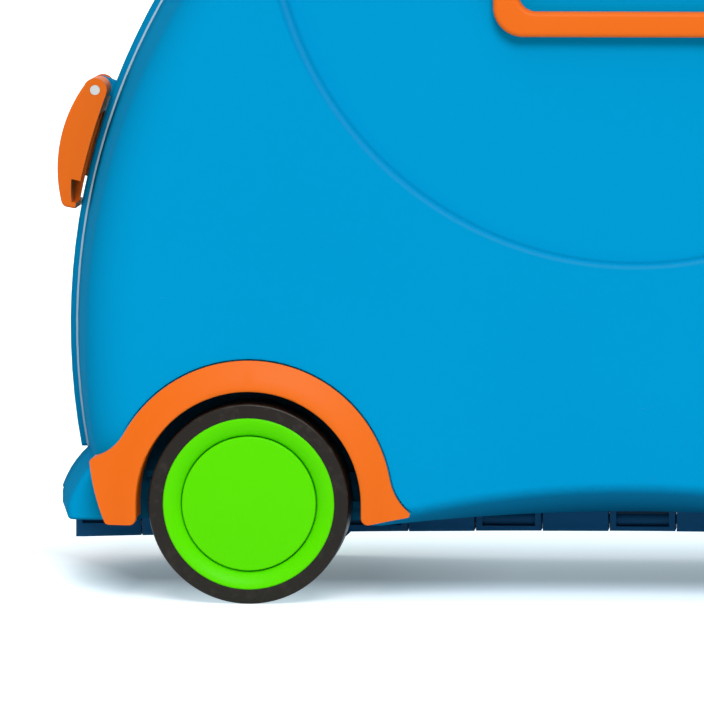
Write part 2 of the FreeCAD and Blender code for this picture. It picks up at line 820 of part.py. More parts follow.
def hinge_leaf(name, first, count):
    """A leaf of the left half: a strip on the floor, with every second knuckle hanging below it."""
    body = new_body(name)
    length = "knuckle_count * knuckle_pitch"
    strip = [
        ("-leaf_flange", LEAF_FLOOR),
        ("-leaf_start", LEAF_FLOOR),
        ("-leaf_start", LEAF_ROOF),
        ("-leaf_split", LEAF_ROOF),
        ("-leaf_split", f"{LEAF_ROOF} + leaf_thick"),
        ("-(leaf_start + leaf_thick)", f"{LEAF_ROOF} + leaf_thick"),
        ("-(leaf_start + leaf_thick)", f"{LEAF_FLOOR} + leaf_thick"),
        ("-leaf_flange", f"{LEAF_FLOOR} + leaf_thick"),
    ]
    inside = f"2 * {end_x(LEAF_FLOOR, 'wall + ' + drafted('leaf_flange'))}"
    pad(body, draw(new_sketch(body, "YZ_Plane", f"-({inside}) / 2"), strip), inside)

    start = f"({first} * knuckle_pitch - (knuckle_pitch - knuckle_gap) / 2)"
    block = [
        ("-knuckle_own", "hinge_height - knuckle_drop"),
        ("knuckle_far", "hinge_height - knuckle_drop"),
        ("knuckle_far", "hinge_height + knuckle_top"),
        ("-leaf_split", "hinge_height + knuckle_top"),
        ("-leaf_split", KNUCKLE_ROOT),
        ("-knuckle_own", KNUCKLE_ROOT),
    ]
    knuckle = pad(body, draw(new_sketch(body, "YZ_Plane", start), block), "knuckle_pitch - knuckle_gap")
    window = [
        (f"{start} + knuckle_frame", "hinge_height - knuckle_waist + knuckle_sill"),
        (f"{start} + knuckle_pitch - knuckle_gap - knuckle_frame",
         "hinge_height - knuckle_waist + knuckle_sill"),
        (f"{start} + knuckle_pitch - knuckle_gap - knuckle_frame", "hinge_height + knuckle_waist"),
        (f"{start} + knuckle_frame", "hinge_height + knuckle_waist"),
    ]
    hollow = pocket(body, draw(new_sketch(body, "XZ_Plane", "-knuckle_far"), window),
                    "knuckle_pocket", backwards=True)
    row = body.newObject("PartDesign::LinearPattern", name + "_row")
    row.Originals = [knuckle, hollow]
    x_axis = next(item for item in body.Origin.OriginFeatures if item.Role == "X_Axis")
    row.Direction = (x_axis, [""])
    put(row, Length=f"2 * ({count} - 1) * knuckle_pitch")
    row.Occurrences = count
    body.Tip = row
    doc.recompute()

    waist = "hinge_height - knuckle_waist - knuckle_arch"
    subtract_cylinder(body, "knuckle_arch", "4 * leaf_start",
                      along((0, 1, 0), "0", "-2 * leaf_start", waist))
    subtract_cylinder(body, "hinge_pin_radius + running_fit", length,
                      along((1, 0, 0), f"-({length}) / 2", "0", "hinge_height"))
    for x, y in leaf_screw_places():
        subtract_cylinder(body, "screw_radius", "2 * leaf_thick",
                          along((0, 0, 1), x, y, f"{LEAF_FLOOR} - leaf_thick / 2"))
    return body


def screw(name, place, length):
    """A pan head screw whose head sits at the placement and whose shank runs along its Z axis."""
    head_place = place.multiply(FreeCAD.Placement(
        FreeCAD.Vector(0, 0, -value("screw_head_thick")), FreeCAD.Rotation()))
    head = cylinder(name + "_head", "screw_head_radius", "screw_head_thick", head_place)
    shank = cylinder(name + "_shank", "screw_radius", length, place)
    return fuse(name, [head, shank])


def belly_hinge():
    count = int(value("knuckle_count"))
    keep("left_hinge_leaf", hinge_leaf("left_hinge_leaf", -(count - 3) / 2, (count - 1) // 2))
    plan = hinge_leaf("right_leaf_plan", -(count - 1) / 2, (count + 1) // 2)
    keep("right_hinge_leaf", mirror("right_hinge_leaf", plan, "Y"))
    length = "knuckle_count * knuckle_pitch - knuckle_gap"
    place = along((1, 0, 0), f"-({length}) / 2", "0", "hinge_height")
    keep("hinge_pin", cylinder("hinge_pin", "hinge_pin_radius", length, place))
    screws = [screw("leaf_screw", along((0, 0, -1), x, y, f"{LEAF_FLOOR} + leaf_thick"),
                    "leaf_thick + screw_bite / 2") for x, y in leaf_screw_places()]
    both_halves("hinge_screws", group("left_hinge_screws", screws))


# Wheels

CLIP_SEAT = "(wheel_face - (half_width - well_depth - boss_inner))"


def wheel_body(name, outline):
    body = new_body(name)
    revolve(body, outline)
    put(body, Placement__Base__x="-wheel_offset", Placement__Base__y="-wheel_face",
        Placement__Base__z="tyre_radius")
    return body


def tyre():
    outer = "tyre_inset + tyre_width"
    low = "tyre_radius - tyre_shoulder"
    return wheel_body("tyre", [
        ("tyre_inset", "rim_radius"),
        ("tyre_inset", low, "tyre_shoulder", -1),
        ("tyre_inset + tyre_shoulder", "tyre_radius"),
        (f"{outer} - tyre_shoulder", "tyre_radius", "tyre_shoulder", -1),
        (outer, low),
        (outer, "rim_radius"),
    ])


def wheel_rim():
    bore = "axle_radius + running_fit"
    inner = "rim_radius - rim_wall"
    back = "web_depth + web_thick"
    width = "tyre_inset + tyre_width"
    return wheel_body("wheel_rim", [
        ("web_depth", bore),
        ("web_depth", "dish_radius"),
        ("dish_depth", "dish_radius", "dish_bow", -1),
        ("0", "rim_radius - cap_round"),
        ("cap_round", "rim_radius"),
        (width, "rim_radius"),
        (width, inner),
        (back, inner),
        (back, "hub_radius"),
        ("hub_length", "hub_radius"),
        ("hub_length", bore),
    ])


def hub_cap():
    back = "cap_inset + cap_thick"
    return wheel_body("hub_cap", [
        ("cap_inset", "0"),
        ("cap_inset", "cap_radius - cap_round", "cap_round", -1),
        ("cap_inset + cap_round", "cap_radius"),
        (back, "cap_radius"),
        (back, "spigot_radius"),
        ("web_depth", "spigot_radius"),
        ("web_depth", "spigot_radius - spigot_wall"),
        (back, "spigot_radius - spigot_wall"),
        (back, "0"),
    ])


def axle():
    head = "web_depth - end_float"
    tail = f"{CLIP_SEAT} + clip_thick + axle_tail"
    return wheel_body("axle", [
        (f"{head} - axle_head_thick", "0"),
        (f"{head} - axle_head_thick", "axle_head_radius"),
        (head, "axle_head_radius"),
        (head, "axle_radius"),
        (tail, "axle_radius"),
        (tail, "0"),
    ])


def axle_clip():
    return wheel_body("axle_clip", [
        (CLIP_SEAT, "axle_radius"),
        (CLIP_SEAT, "clip_radius"),
        (f"{CLIP_SEAT} + clip_thick", "clip_radius"),
        (f"{CLIP_SEAT} + clip_thick", "axle_radius"),
    ])


def wheels():
    for name, make in (("tyre", tyre), ("wheel_rim", wheel_rim), ("hub_cap", hub_cap), ("axle", axle)):
        four_corners(name, make())
    front_clip = axle_clip()
    rear_clip = mirror("rear_axle_clip", front_clip, "X")
    both_halves("axle_clips", group("left_axle_clips", [front_clip, rear_clip]))


# Wheel arches

# The rounded corners of the arch's outline: its tip, its front corner and heel, and its two inner feet
ARCH_CORNERS = {0: "arch_tip", 3: "arch_corner", 4: "arch_corner", 5: "leg_round", 9: "leg_round"}


def slope_face(body):
    """Turn the arch's face back all round the wheel, from a flat lip to an edge that is barely proud."""
    sketch = put(new_sketch(body, "YZ_Plane", "-wheel_offset"), AttachmentOffset__Base__y="tyre_radius")
    draw(sketch, [
        ("-(half_width + arch_proud)", "arch_inner + arch_lip"),
        ("-(half_width + arch_edge)", "arch_outer"),
        ("-(half_width + arch_edge)", "2 * arch_outer"),
        ("-(half_width + arch_proud)", "2 * arch_outer"),
    ])
    spin(body, "Groove", sketch)


def wheel_arch(outside):
    """The front left arch: a seated face with a liner in the well, and a deep leg round the case's corner."""
    body = new_body("wheel_arch")
    back = "(half_width - arch_seat)"
    outline = at_wheel(-1, arch_outline())
    pad(body, draw(new_sketch(body, "XZ_Plane", f"{back} - leg_depth"), outline),
        "leg_depth + arch_seat + arch_proud")
    for number, radius in ARCH_CORNERS.items():
        x, z = value(outline[number][0]), value(outline[number][1])
        round_edges(body, radius, lambda point: math.hypot(point.x - x, point.z - z) < 0.01)
    behind = [
        (f"-({WELL_RADIUS} + wall)", "-tyre_radius"),
        ("2 * arch_outer", "-tyre_radius"),
        ("2 * arch_outer", "2 * arch_outer"),
        (f"-({WELL_RADIUS} + wall)", "2 * arch_outer"),
    ]
    pocket(body, draw(new_sketch(body, "XZ_Plane", back), at_wheel(-1, behind)), "leg_depth")
    liner = "(arch_inner + liner_thick)"
    low = "-(leg_bottom - leg_round)"
    band = [
        (f"-{liner}", low),
        ("-arch_inner", low),
        ("-arch_inner", "0", "arch_inner", -1),
        ("0", "arch_inner", "arch_inner", -1),
        ("arch_inner", "0"),
        ("arch_inner", low),
        (liner, low),
        (liner, "0", liner, 1),
        ("0", liner, liner, 1),
        (f"-{liner}", "0"),
    ]
    sketch = draw(new_sketch(body, "XZ_Plane", back), at_wheel(-1, band))
    pad(body, sketch, "liner_depth", backwards=True)
    for x, z in screw_places()[:int(value("arch_screw_count"))]:
        subtract_cylinder(body, "screw_radius", "arch_screw_bite", along((0, -1, 0), x, f"-({back})", z))
    face = -value("half_width + arch_proud")
    round_edges(body, "arch_round", lambda point: abs(point.y - face) < 0.01)
    slope_face(body)
    return cut("fitted_arch", body, outside)


def wheel_arches(outside):
    four_corners("wheel_arch", wheel_arch(outside))
    screws = [screw("arch_screw", along((0, -1, 0), x, "-(half_width - wall)", z),
                    "wall - arch_seat + arch_screw_bite") for x, z in screw_places()]
    both_halves("arch_screws", group("left_arch_screws", screws))


# End latches

def front_latch():
    """A hollow lever over the seam, open at the sides of its lower end for the fingers."""
    body = new_body("front_latch")
    crest = f"{LATCH_FACE} + 2 * latch_barrel - latch_gap"
    top = polar(crest, "latch_pivot_angle + latch_sole_angle")
    heel = polar(LATCH_FACE, "latch_foot_angle")
    toe = polar(f"{LATCH_FACE} + latch_toe", "latch_foot_angle")
    inner_top = polar(LATCH_FACE, "latch_pivot_angle")
    outline = [
        (heel[0], heel[1], LATCH_FACE, -1),
        (inner_top[0], inner_top[1]),
        (top[0], top[1], "latch_bow", 1),
        (toe[0], toe[1]),
    ]
    pad(body, draw(new_sketch(body, "XZ_Plane", "-latch_half"), outline), "2 * latch_half")
    toe_x, toe_z = value(toe[0]), value(toe[1])
    round_edges(body, "latch_toe_round",
                lambda point: abs(point.x - toe_x) < 0.01 and abs(point.z - toe_z) < 0.01)
    centre_x, outer = -value(END_X), value(f"{LATCH_FACE} + latch_toe - latch_toe_round")
    round_edges(body, "latch_edge", lambda point: abs(point.y) > value("latch_half") - 0.01
                and math.hypot(point.x - centre_x, point.z - value("widest_height")) > outer)
    barrel = body.newObject("PartDesign::AdditiveCylinder", "latch_barrel")
    barrel.Placement = along((0, 1, 0), LATCH_PIVOT[0], "-latch_half", LATCH_PIVOT[1])
    put(barrel, Radius="latch_barrel", Height="2 * latch_half")
    doc.recompute()

    sole = "latch_foot_angle + latch_sole_angle"
    depth = f"{LATCH_FACE} + latch_toe - latch_skin"
    hollow = [
        polar("end_radius", sole),
        polar("end_radius", "latch_hollow_angle"),
        polar(depth, "latch_hollow_angle") + ("latch_bow - latch_skin", 1),
        polar(depth, sole),
    ]
    pocket(body, draw(new_sketch(body, "XZ_Plane", "-latch_half"), hollow), "2 * latch_half", backwards=True)
    plates = {
        "-latch_half": f"{sole} + latch_window_angle",
        "0": "latch_foot_angle + latch_sole_angle / 2",
        "latch_half - latch_cheek": f"{sole} + latch_window_angle",
    }
    high = "latch_hollow_angle + latch_sole_angle"
    for start, low in plates.items():
        plate = [
            polar(LATCH_FACE, low) + (LATCH_FACE, -1),
            polar(LATCH_FACE, high),
            polar(f"{LATCH_FACE} + latch_toe", high) + ("latch_bow", 1),
            polar(f"{LATCH_FACE} + latch_toe", low),
        ]
        pad(body, draw(new_sketch(body, "XZ_Plane", start), plate), "latch_cheek")

    slot = along((0, 1, 0), LATCH_PIVOT[0], "ear_middle - ear_half - latch_gap", LATCH_PIVOT[1])
    subtract_cylinder(body, "latch_barrel + latch_gap", "2 * (ear_half + latch_gap)", slot)
    bore = along((0, 1, 0), LATCH_PIVOT[0], "-latch_half", LATCH_PIVOT[1])
    subtract_cylinder(body, "latch_pin_radius + running_fit", "2 * latch_half", bore)
    return body


def latches():
    latch = keep("front_latch", front_latch())
    keep("rear_latch", mirror("rear_latch", latch, "X"))
    place = along((0, 1, 0), LATCH_PIVOT[0], "-latch_half", LATCH_PIVOT[1])
    pin = keep("front_latch_pin", cylinder("front_latch_pin", "latch_pin_radius", "2 * latch_half", place))
    keep("rear_latch_pin", mirror("rear_latch_pin", pin, "X"))


# Carry handles

def handle():
    body = new_body("left_handle")
    low = HANDLE_LOW
    top = "(handle_pivot + handle_thick / 2)"
    inner = "(handle_half - handle_bar)"
    inner_corner = "(handle_corner - handle_bar / 2)"
    sketch = draw(new_sketch(body, "XZ_Plane", f"{HANDLE_Y} - handle_thick / 2"), [
        ("handle_half", top),
        (inner, top),
        (inner, f"{low} + handle_bar + {inner_corner}", inner_corner, -1),
        (f"{inner} - {inner_corner}", f"{low} + handle_bar"),
        (f"-({inner} - {inner_corner})", f"{low} + handle_bar", inner_corner, -1),
        (f"-{inner}", f"{low} + handle_bar + {inner_corner}"),
        (f"-{inner}", top),
        ("-handle_half", top),
        ("-handle_half", f"{low} + handle_corner", "handle_corner", 1),
        ("-(handle_half - handle_corner)", low),
        ("handle_half - handle_corner", low, "handle_corner", 1),
        ("handle_half", f"{low} + handle_corner"),
    ])
    pad(body, sketch, "handle_thick")
    crest, face = value(top), -value(f"{HANDLE_Y} + handle_thick / 2")
    round_edges(body, "handle_round", lambda point: abs(point.y - face) < 0.01 and point.z < crest - 0.01)
    round_edges(body, "handle_thick / 2 - lug_gap", lambda point: abs(point.z - crest) < 0.01)
    for place in handle_pin_places():
        subtract_cylinder(body, "handle_pin_radius + running_fit", HANDLE_PIN, place)
    return body


def handles():
    both_halves("handle", handle())
    both_halves("handle_pins", group("left_handle_pins", handle_pins("handle_pin")))


# Front grips

def grip():
    body = new_body("left_grip")
    revolve(body, [
        ("0", "0"),
        ("0", "grip_base - cap_round"),
        ("grip_flange", "grip_base - cap_round"),
        ("2 * grip_flange", "grip_stem"),
        ("grip_length - grip_end", "grip_stem"),
        ("grip_length - grip_end / 2", "grip_end", "grip_end", -1),
        ("grip_length", "0"),
    ])
    place = grip_place("grip_seat")
    turn = place.Rotation.multiply(FreeCAD.Rotation(FreeCAD.Vector(0, 1, 0), FreeCAD.Vector(0, 0, 1)))
    body.Placement = FreeCAD.Placement(place.Base, turn)
    doc.recompute()
    return body


def grips():
    bore = cylinder("grip_bore", "screw_radius", "2 * screw_bite", grip_place("grip_seat"))
    both_halves("grip", cut("left_grip_solid", grip(), bore))
    fixing = screw("left_grip_screw", grip_place("-grip_seat_deep"),
                   "grip_seat_deep + grip_seat + 2 * screw_bite")
    both_halves("grip_screw", fixing)


def check_all():
    for obj in doc.Objects:
        if {"Invalid", "Error"} & set(obj.State):
            raise ValueError(f"{obj.Name} failed: {obj.State}")
        if hasattr(obj, "Shape") and (obj.Shape.isNull() or not obj.Shape.isValid()):
            raise ValueError(f"{obj.Name} has no valid shape")


def write_all():
    os.makedirs("parts", exist_ok=True)
    for label, obj in SUB_PARTS.items():
        obj.Shape.exportStep(f"parts/{label}.step")
        print(f"{label}: {len(obj.Shape.Solids)} solids, {obj.Shape.Volume / 1000:.1f} cm3")


def main():
    fill_sheet()
    outside = left_outside()
    right_shell(left_shell(outside))
    belly_hinge()
    wheels()
    wheel_arches(outside)
    latches()
    handles()
    grips()
    doc.recompute()
    check_all()
    write_all()


main()
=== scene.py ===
"""Looks of a child's ride-on suitcase, built around the frame of its solids. Metres, +Z up."""
import math

import bmesh
import bpy
from bpy.props import FloatProperty, FloatVectorProperty, IntProperty, PointerProperty
from mathutils import Matrix, Vector


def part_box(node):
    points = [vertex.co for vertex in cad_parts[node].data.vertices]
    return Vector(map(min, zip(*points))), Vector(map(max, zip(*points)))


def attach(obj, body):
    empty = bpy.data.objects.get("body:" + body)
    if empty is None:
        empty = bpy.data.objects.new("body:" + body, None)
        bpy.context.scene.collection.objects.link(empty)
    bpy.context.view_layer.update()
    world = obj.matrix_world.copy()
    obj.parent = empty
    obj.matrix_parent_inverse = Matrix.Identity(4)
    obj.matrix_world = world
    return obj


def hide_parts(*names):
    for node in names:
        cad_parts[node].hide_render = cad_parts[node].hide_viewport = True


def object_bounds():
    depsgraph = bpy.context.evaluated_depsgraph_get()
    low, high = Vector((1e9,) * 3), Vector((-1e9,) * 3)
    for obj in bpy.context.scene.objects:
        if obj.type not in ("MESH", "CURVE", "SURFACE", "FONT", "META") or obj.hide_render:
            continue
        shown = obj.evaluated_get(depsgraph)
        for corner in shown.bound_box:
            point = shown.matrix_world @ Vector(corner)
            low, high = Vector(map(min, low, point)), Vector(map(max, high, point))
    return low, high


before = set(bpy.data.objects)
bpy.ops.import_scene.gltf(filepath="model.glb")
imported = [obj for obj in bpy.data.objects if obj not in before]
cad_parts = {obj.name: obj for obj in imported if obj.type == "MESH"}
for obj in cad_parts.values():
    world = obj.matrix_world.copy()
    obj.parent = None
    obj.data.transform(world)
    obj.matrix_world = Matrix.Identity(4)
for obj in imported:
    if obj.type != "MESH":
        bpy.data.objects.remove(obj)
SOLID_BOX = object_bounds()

bl_info = {
    "name": "Ride-on Suitcase",
    "version": (1, 0, 0),
    "blender": (4, 5, 0),
    "location": "View3D > Sidebar > Suitcase",
    "description": "Finishes the pieces of a ride-on suitcase and sets up its studio",
    "category": "Object",
}

MM = 0.001
CORNERS = ("front_left", "rear_left", "front_right", "rear_right")
HALVES = ("left", "right")
ENDS = ("front", "rear")

# Meshing of the pieces
MERGE_DISTANCE = 1e-6
CORNER_TOLERANCE = 1e-5
FLAT_ANGLE = math.radians(0.3)
CREASE_ANGLE = math.radians(32)
ROUNDING_ANGLE = math.radians(40)
ROUNDING_STEPS = 2
SHOULDER_STEPS = 8
DISH_STEPS = 10
RIM_EDGE_STEPS = 4
CAP_EDGE_STEPS = 5
BARREL_STEPS = 8
RIB_STEPS = 8
KNOB_STEPS = 8

# Tilt, turn and angular size of each lamp, in degrees
LAMPS = {"top_light": (8, 0, 80), "front_light": (56, 8, 25)}
# How far the camera sees, past the floor's far edge
CLIP_END = 100.0


# Measures taken from the frame

def middle(node):
    low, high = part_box(node)
    return (low + high) / 2


def extent(node, axis):
    low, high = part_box(node)
    return high[axis] - low[axis]


# Settings

def linear(red, green, blue):
    """An 8-bit display colour as the linear one that a shader takes."""
    shares = [part / 255 for part in (red, green, blue)]
    return tuple(s / 12.92 if s <= 0.04045 else ((s + 0.055) / 1.055) ** 2.4 for s in shares)


def colour_field(name, description, colour):
    return FloatVectorProperty(name=name, description=description, subtype="COLOR",
                               default=linear(*colour), min=0, max=1)


def length_field(name, description, length):
    return FloatProperty(name=name, description=description, subtype="DISTANCE", unit="LENGTH",
                         default=length, min=0, precision=5)


def strength_field(name, description, strength):
    return FloatProperty(name=name, description=description, default=strength, min=0)


class SuitcaseColours(bpy.types.PropertyGroup):
    """Colours of the mouldings, the rubber and the metal, and the colour of painted shade"""
    shell: colour_field("Shell", "Blue plastic of the two half shells", (0, 151, 206))
    hinge: colour_field("Hinge", "Navy plastic of the belly hinge", (16, 100, 150))
    trim: colour_field("Trim", "Orange plastic of arches, latches and handles", (236, 108, 16))
    wheel: colour_field("Wheel", "Green plastic of rims and hub caps", (91, 224, 0))
    tyre: colour_field("Tyre", "Black rubber of the tyres", (24, 17, 10))
    dust: colour_field("Dust", "Dust on the tyres", (96, 90, 82))
    # A real seal, whose pale colour also paints the highlight along the edge of the seam
    seal: colour_field("Seal", "Pale rubber between the halves", (172, 203, 219))
    grip: colour_field("Grip", "Orange rubber of the front grips", (250, 116, 32))
    # Painted shade: this colour is mixed into the wheel wells, under the belly, along the seam and into the
    # hinge's pockets, where shade falls
    painted_shade: colour_field("Grime", "Street dirt in the wheel wells and under the belly", (12, 24, 32))
    steel: colour_field("Steel", "Plated steel of pins, axles and screws", (190, 190, 186))
    black_steel: colour_field("Black steel", "Blackened steel of the long hinge pin", (26, 32, 40))


class SuitcaseSizes(bpy.types.PropertyGroup):
    """Sizes of the pieces that are modelled here"""
    tyre_radius: length_field("Tyre radius", "From the axle to the tread", extent("front_left_tyre", 2) / 2)
    tyre_width: length_field("Tyre width", "Across the tread", extent("front_left_tyre", 1))
    tyre_shoulder: length_field("Tyre shoulder", "Rounding from face to tread", 6 * MM)
    rim_radius: length_field("Rim radius", "Where the tyre sits", extent("front_left_wheel_rim", 2) / 2)
    rim_edge: length_field("Rim edge", "Rounding of the rim's outer edge", 0.8 * MM)
    dish_radius: length_field("Dish radius", "Inner edge of the dished ring", 27.06 * MM)
    dish_depth: length_field("Dish depth", "How far the ring dips at its inner edge", 3.2 * MM)
    web_depth: length_field("Web depth", "From the rim's face to its web", 7 * MM)
    web_thickness: length_field("Web thickness", "Thickness of the rim's web", 4 * MM)
    rim_wall: length_field("Rim wall", "Thickness under the tyre", 3.6 * MM)
    hub_radius: length_field("Hub radius", "Outside of the hub", 11 * MM)
    bore_radius: length_field("Bore radius", "Inside of the hub", 4.06 * MM)
    cap_radius: length_field("Cap radius", "Outside of the hub cap", extent("front_left_hub_cap", 2) / 2)
    cap_thickness: length_field("Cap thickness", "Thickness of the hub cap", 3 * MM)
    cap_edge: length_field("Cap edge", "Rounding of the hub cap's edge", 0.7 * MM)
    knuckles: IntProperty(name="Knuckles", description="Knuckles of the belly hinge, both leaves",
                          default=17, min=3)
    knuckle_gap: length_field("Knuckle gap", "Between two knuckles", 0.6 * MM)
    pocket_frame: length_field("Pocket frame", "Width of the frame round a knuckle's pocket", 2.6 * MM)
    pocket_floor: length_field("Pocket floor", "From the hinge's axis to a pocket's floor", 4.6 * MM)
    barrel_radius: length_field("Barrel radius", "Outside of the barrel in a pocket", 5.2 * MM)
    grip_lean: FloatProperty(name="Grip lean", description="How far each grip leans out from upright",
                             subtype="ANGLE", default=math.radians(20))
    grip_base: length_field("Grip base", "Radius of the grip's flange", extent("left_grip", 0) / 2)
    grip_flange: length_field("Grip flange", "Thickness of the grip's flange", 4 * MM)
    grip_stem: length_field("Grip stem", "Radius of the grip between its ribs", 9.2 * MM)
    grip_rib: length_field("Grip rib", "How far a rib stands out of the stem", 0.9 * MM)
    grip_ribs: IntProperty(name="Grip ribs", description="Ribs round each grip", default=6, min=1)
    grip_knob: length_field("Grip knob", "Radius of the grip's end", 12 * MM)
    grip_length: length_field("Grip length", "From the flange to the end", 40 * MM)
    wheel_steps: IntProperty(name="Wheel steps", description="Faces round a wheel", default=128, min=24)
    moulded_edge: length_field("Moulded edge", "Rounding of a moulding's sharp edges", 0.3 * MM)
    recess_height: length_field("Recess height", "Centre of the leg recess's round step", 279.8 * MM)
    recess_radius: length_field("Recess radius", "Radius of that step", 144.2 * MM)
    recess_line: length_field("Recess line", "Width of the shade and the gleam along that step", 0.9 * MM)


class SuitcasePaintedLight(bpy.types.PropertyGroup):
    """How strongly painted shade and painted highlight show on the shells: in the wheel wells, under the
    belly, along the seam and at the step of the leg recess
    """
    # Painted shade in the wheel wells, low down on what faces the floor, and along the seam
    well: strength_field("Well", "Dirt in the wheel wells", 0.75)
    belly: strength_field("Belly", "Dirt low down on what faces the floor", 0.4)
    seam: strength_field("Seam", "Dirt along the seam", 0.25)
    recess_shade: strength_field("Recess shade", "Shade in the corner of the leg recess", 0.35)
    recess_gleam: strength_field("Recess gleam", "Gleam on the lip of the leg recess", 0.14)


class SuitcaseStage(bpy.types.PropertyGroup):
    """Camera, light and floor"""
    camera_place: FloatVectorProperty(name="Camera place", description="Where the camera stands",
                                      subtype="XYZ", unit="LENGTH", default=(0.1604, -4.10, 0.4112))
    camera_target: FloatVectorProperty(name="Camera target", description="What the camera looks at",
                                       subtype="XYZ", unit="LENGTH", default=(-0.1116, -0.104, 0.1012))
    camera_lens: FloatProperty(name="Lens", description="Focal length on a 36 mm sensor",
                               subtype="DISTANCE_CAMERA", default=518)
    top_light: strength_field("Top light", "Strength of the light overhead", 1.2)
    front_light: strength_field("Front light", "Strength of the light by the camera", 1.95)
    sky: strength_field("Sky", "Strength of the even light all round", 0.15)
    floor: colour_field("Floor", "Pale floor", (244, 245, 246))
    # Its blue tint is painted light: it gives the floor's shadow the blue of light thrown off the shell
    floor_tint: colour_field("Floor tint", "Colour of the glow that the camera sees on the floor",
                             (226, 246, 255))
    # Painted shadow: the glow under the case and by the wheels is kept below the open glow, and the fades and
    # slant below shape that shadow
    floor_glow: strength_field("Floor glow", "Glow under the case, which only the camera sees", 0.38)
    open_glow: strength_field("Open glow", "Glow of the floor all round the case", 0.8)
    wheel_glow: strength_field("Wheel glow", "Glow of the floor between two wheels of an end", 0.25)
    wheel_fade: length_field("Wheel fade", "From the glow beside a wheel to that under the belly", 0.06)
    end_fade: length_field("End fade", "From the open floor past an end to the glow by its wheels", 0.036)
    end_slant: strength_field("End slant", "How far the glow past an end draws back with depth", 0.32)
    end_depth: length_field("End depth", "How far in front of the seam that glow keeps its place", 0.012)
    front_fade: length_field("Front fade", "From under the seam to the open floor in front", 0.11)
    back_fade: length_field("Back fade", "From under the seam to the open floor behind", 0.18)
    floor_size: length_field("Floor size", "Length of the floor's sides", 60.0)


# Shader node groups

def new_group(name, inputs, outputs):
    """A shader node group with sockets given as (name, kind, default)."""
    group = bpy.data.node_groups.new(name, "ShaderNodeTree")
    for in_out, sockets in (("INPUT", inputs), ("OUTPUT", outputs)):
        for label, kind, default in sockets:
            socket = group.interface.new_socket(label, in_out=in_out, socket_type="NodeSocket" + kind)
            if default is not None:
                socket.default_value = default
    return group, group.nodes.new("NodeGroupInput"), group.nodes.new("NodeGroupOutput")


def add(tree, kind, **settings):
    node = tree.nodes.new("ShaderNode" + kind)
    for key, setting in settings.items():
        setattr(node, key, setting)
    return node


def wire(tree, source, target):
    """Join an output socket, or write a constant, to an input socket."""
    if isinstance(source, bpy.types.NodeSocket):
        tree.links.new(source, target)
    else:
        target.default_value = source


def math_node(tree, operation, first, second=0.0):
    node = add(tree, "Math", operation=operation)
    wire(tree, first, node.inputs[0])
    wire(tree, second, node.inputs[1])
    return node.outputs[0]


def noise_node(tree, vector, scale, detail, roughness=0.5):
    node = add(tree, "TexNoise")
    wire(tree, vector, node.inputs["Vector"])
    wire(tree, scale, node.inputs["Scale"])
    node.inputs["Detail"].default_value = detail
    node.inputs["Roughness"].default_value = roughness
    return node.outputs["Fac"]


def spread_node(tree, source, low, high, to_low=0.0, to_high=1.0):
    """Map the range from low to high onto another one, clamped."""
    node = add(tree, "MapRange", clamp=True)
    for value, label in zip((source, low, high, to_low, to_high),
                            ("Value", "From Min", "From Max", "To Min", "To Max")):
        wire(tree, value, node.inputs[label])
    return node.outputs["Result"]


def tint_node(tree, share, first, second):
    """Mix a share of the second colour into the first."""
    node = add(tree, "Mix", data_type="RGBA")
    wire(tree, share, node.inputs["Factor"])
    wire(tree, first, node.inputs["A"])
    wire(tree, second, node.inputs["B"])
    return node.outputs["Result"]


def shown_node(tree):
    """1 for what is seen, also in a mirror or through glass, and 0 for the light that falls on a piece."""
    seen = add(tree, "LightPath")
    shown = math_node(tree, "MAXIMUM", seen.outputs["Is Camera Ray"], seen.outputs["Is Glossy Ray"])
    return math_node(tree, "MAXIMUM", shown, seen.outputs["Is Transmission Ray"])


def tone_group():
    """Slow drift of a moulding's colour, from flow marks and handling."""
    group, inlet, outlet = new_group("moulding_tone", [
        ("Vector", "Vector", None), ("Color", "Color", (0.5, 0.5, 0.5, 1)), ("Drift", "Float", 0.06),
        ("Scale", "Float", 9.0)], [("Color", "Color", None)])
    slow = noise_node(group, inlet.outputs["Vector"], inlet.outputs["Scale"], detail=3)
    share = math_node(group, "MULTIPLY", math_node(group, "SUBTRACT", slow, 0.5), inlet.outputs["Drift"])
    gain = math_node(group, "ADD", share, 1.0)
    scaled = add(group, "VectorMath", operation="SCALE")
    wire(group, inlet.outputs["Color"], scaled.inputs[0])
    wire(group, gain, scaled.inputs["Scale"])
    wire(group, scaled.outputs["Vector"], outlet.inputs["Color"])


def grain_group():
    """Fine grain of a moulding tool over a faint ripple, as a height."""
    group, inlet, outlet = new_group("tool_grain", [
        ("Vector", "Vector", None), ("Grain", "Float", 1600.0), ("Ripple", "Float", 120.0),
        ("Ripple Share", "Float", 0.4)], [("Height", "Float", None)])
    fine = noise_node(group, inlet.outputs["Vector"], inlet.outputs["Grain"], detail=2)
    broad = noise_node(group, inlet.outputs["Vector"], inlet.outputs["Ripple"], detail=1)
    lifted = math_node(group, "MULTIPLY", broad, inlet.outputs["Ripple Share"])
    wire(group, math_node(group, "ADD", fine, lifted), outlet.inputs["Height"])


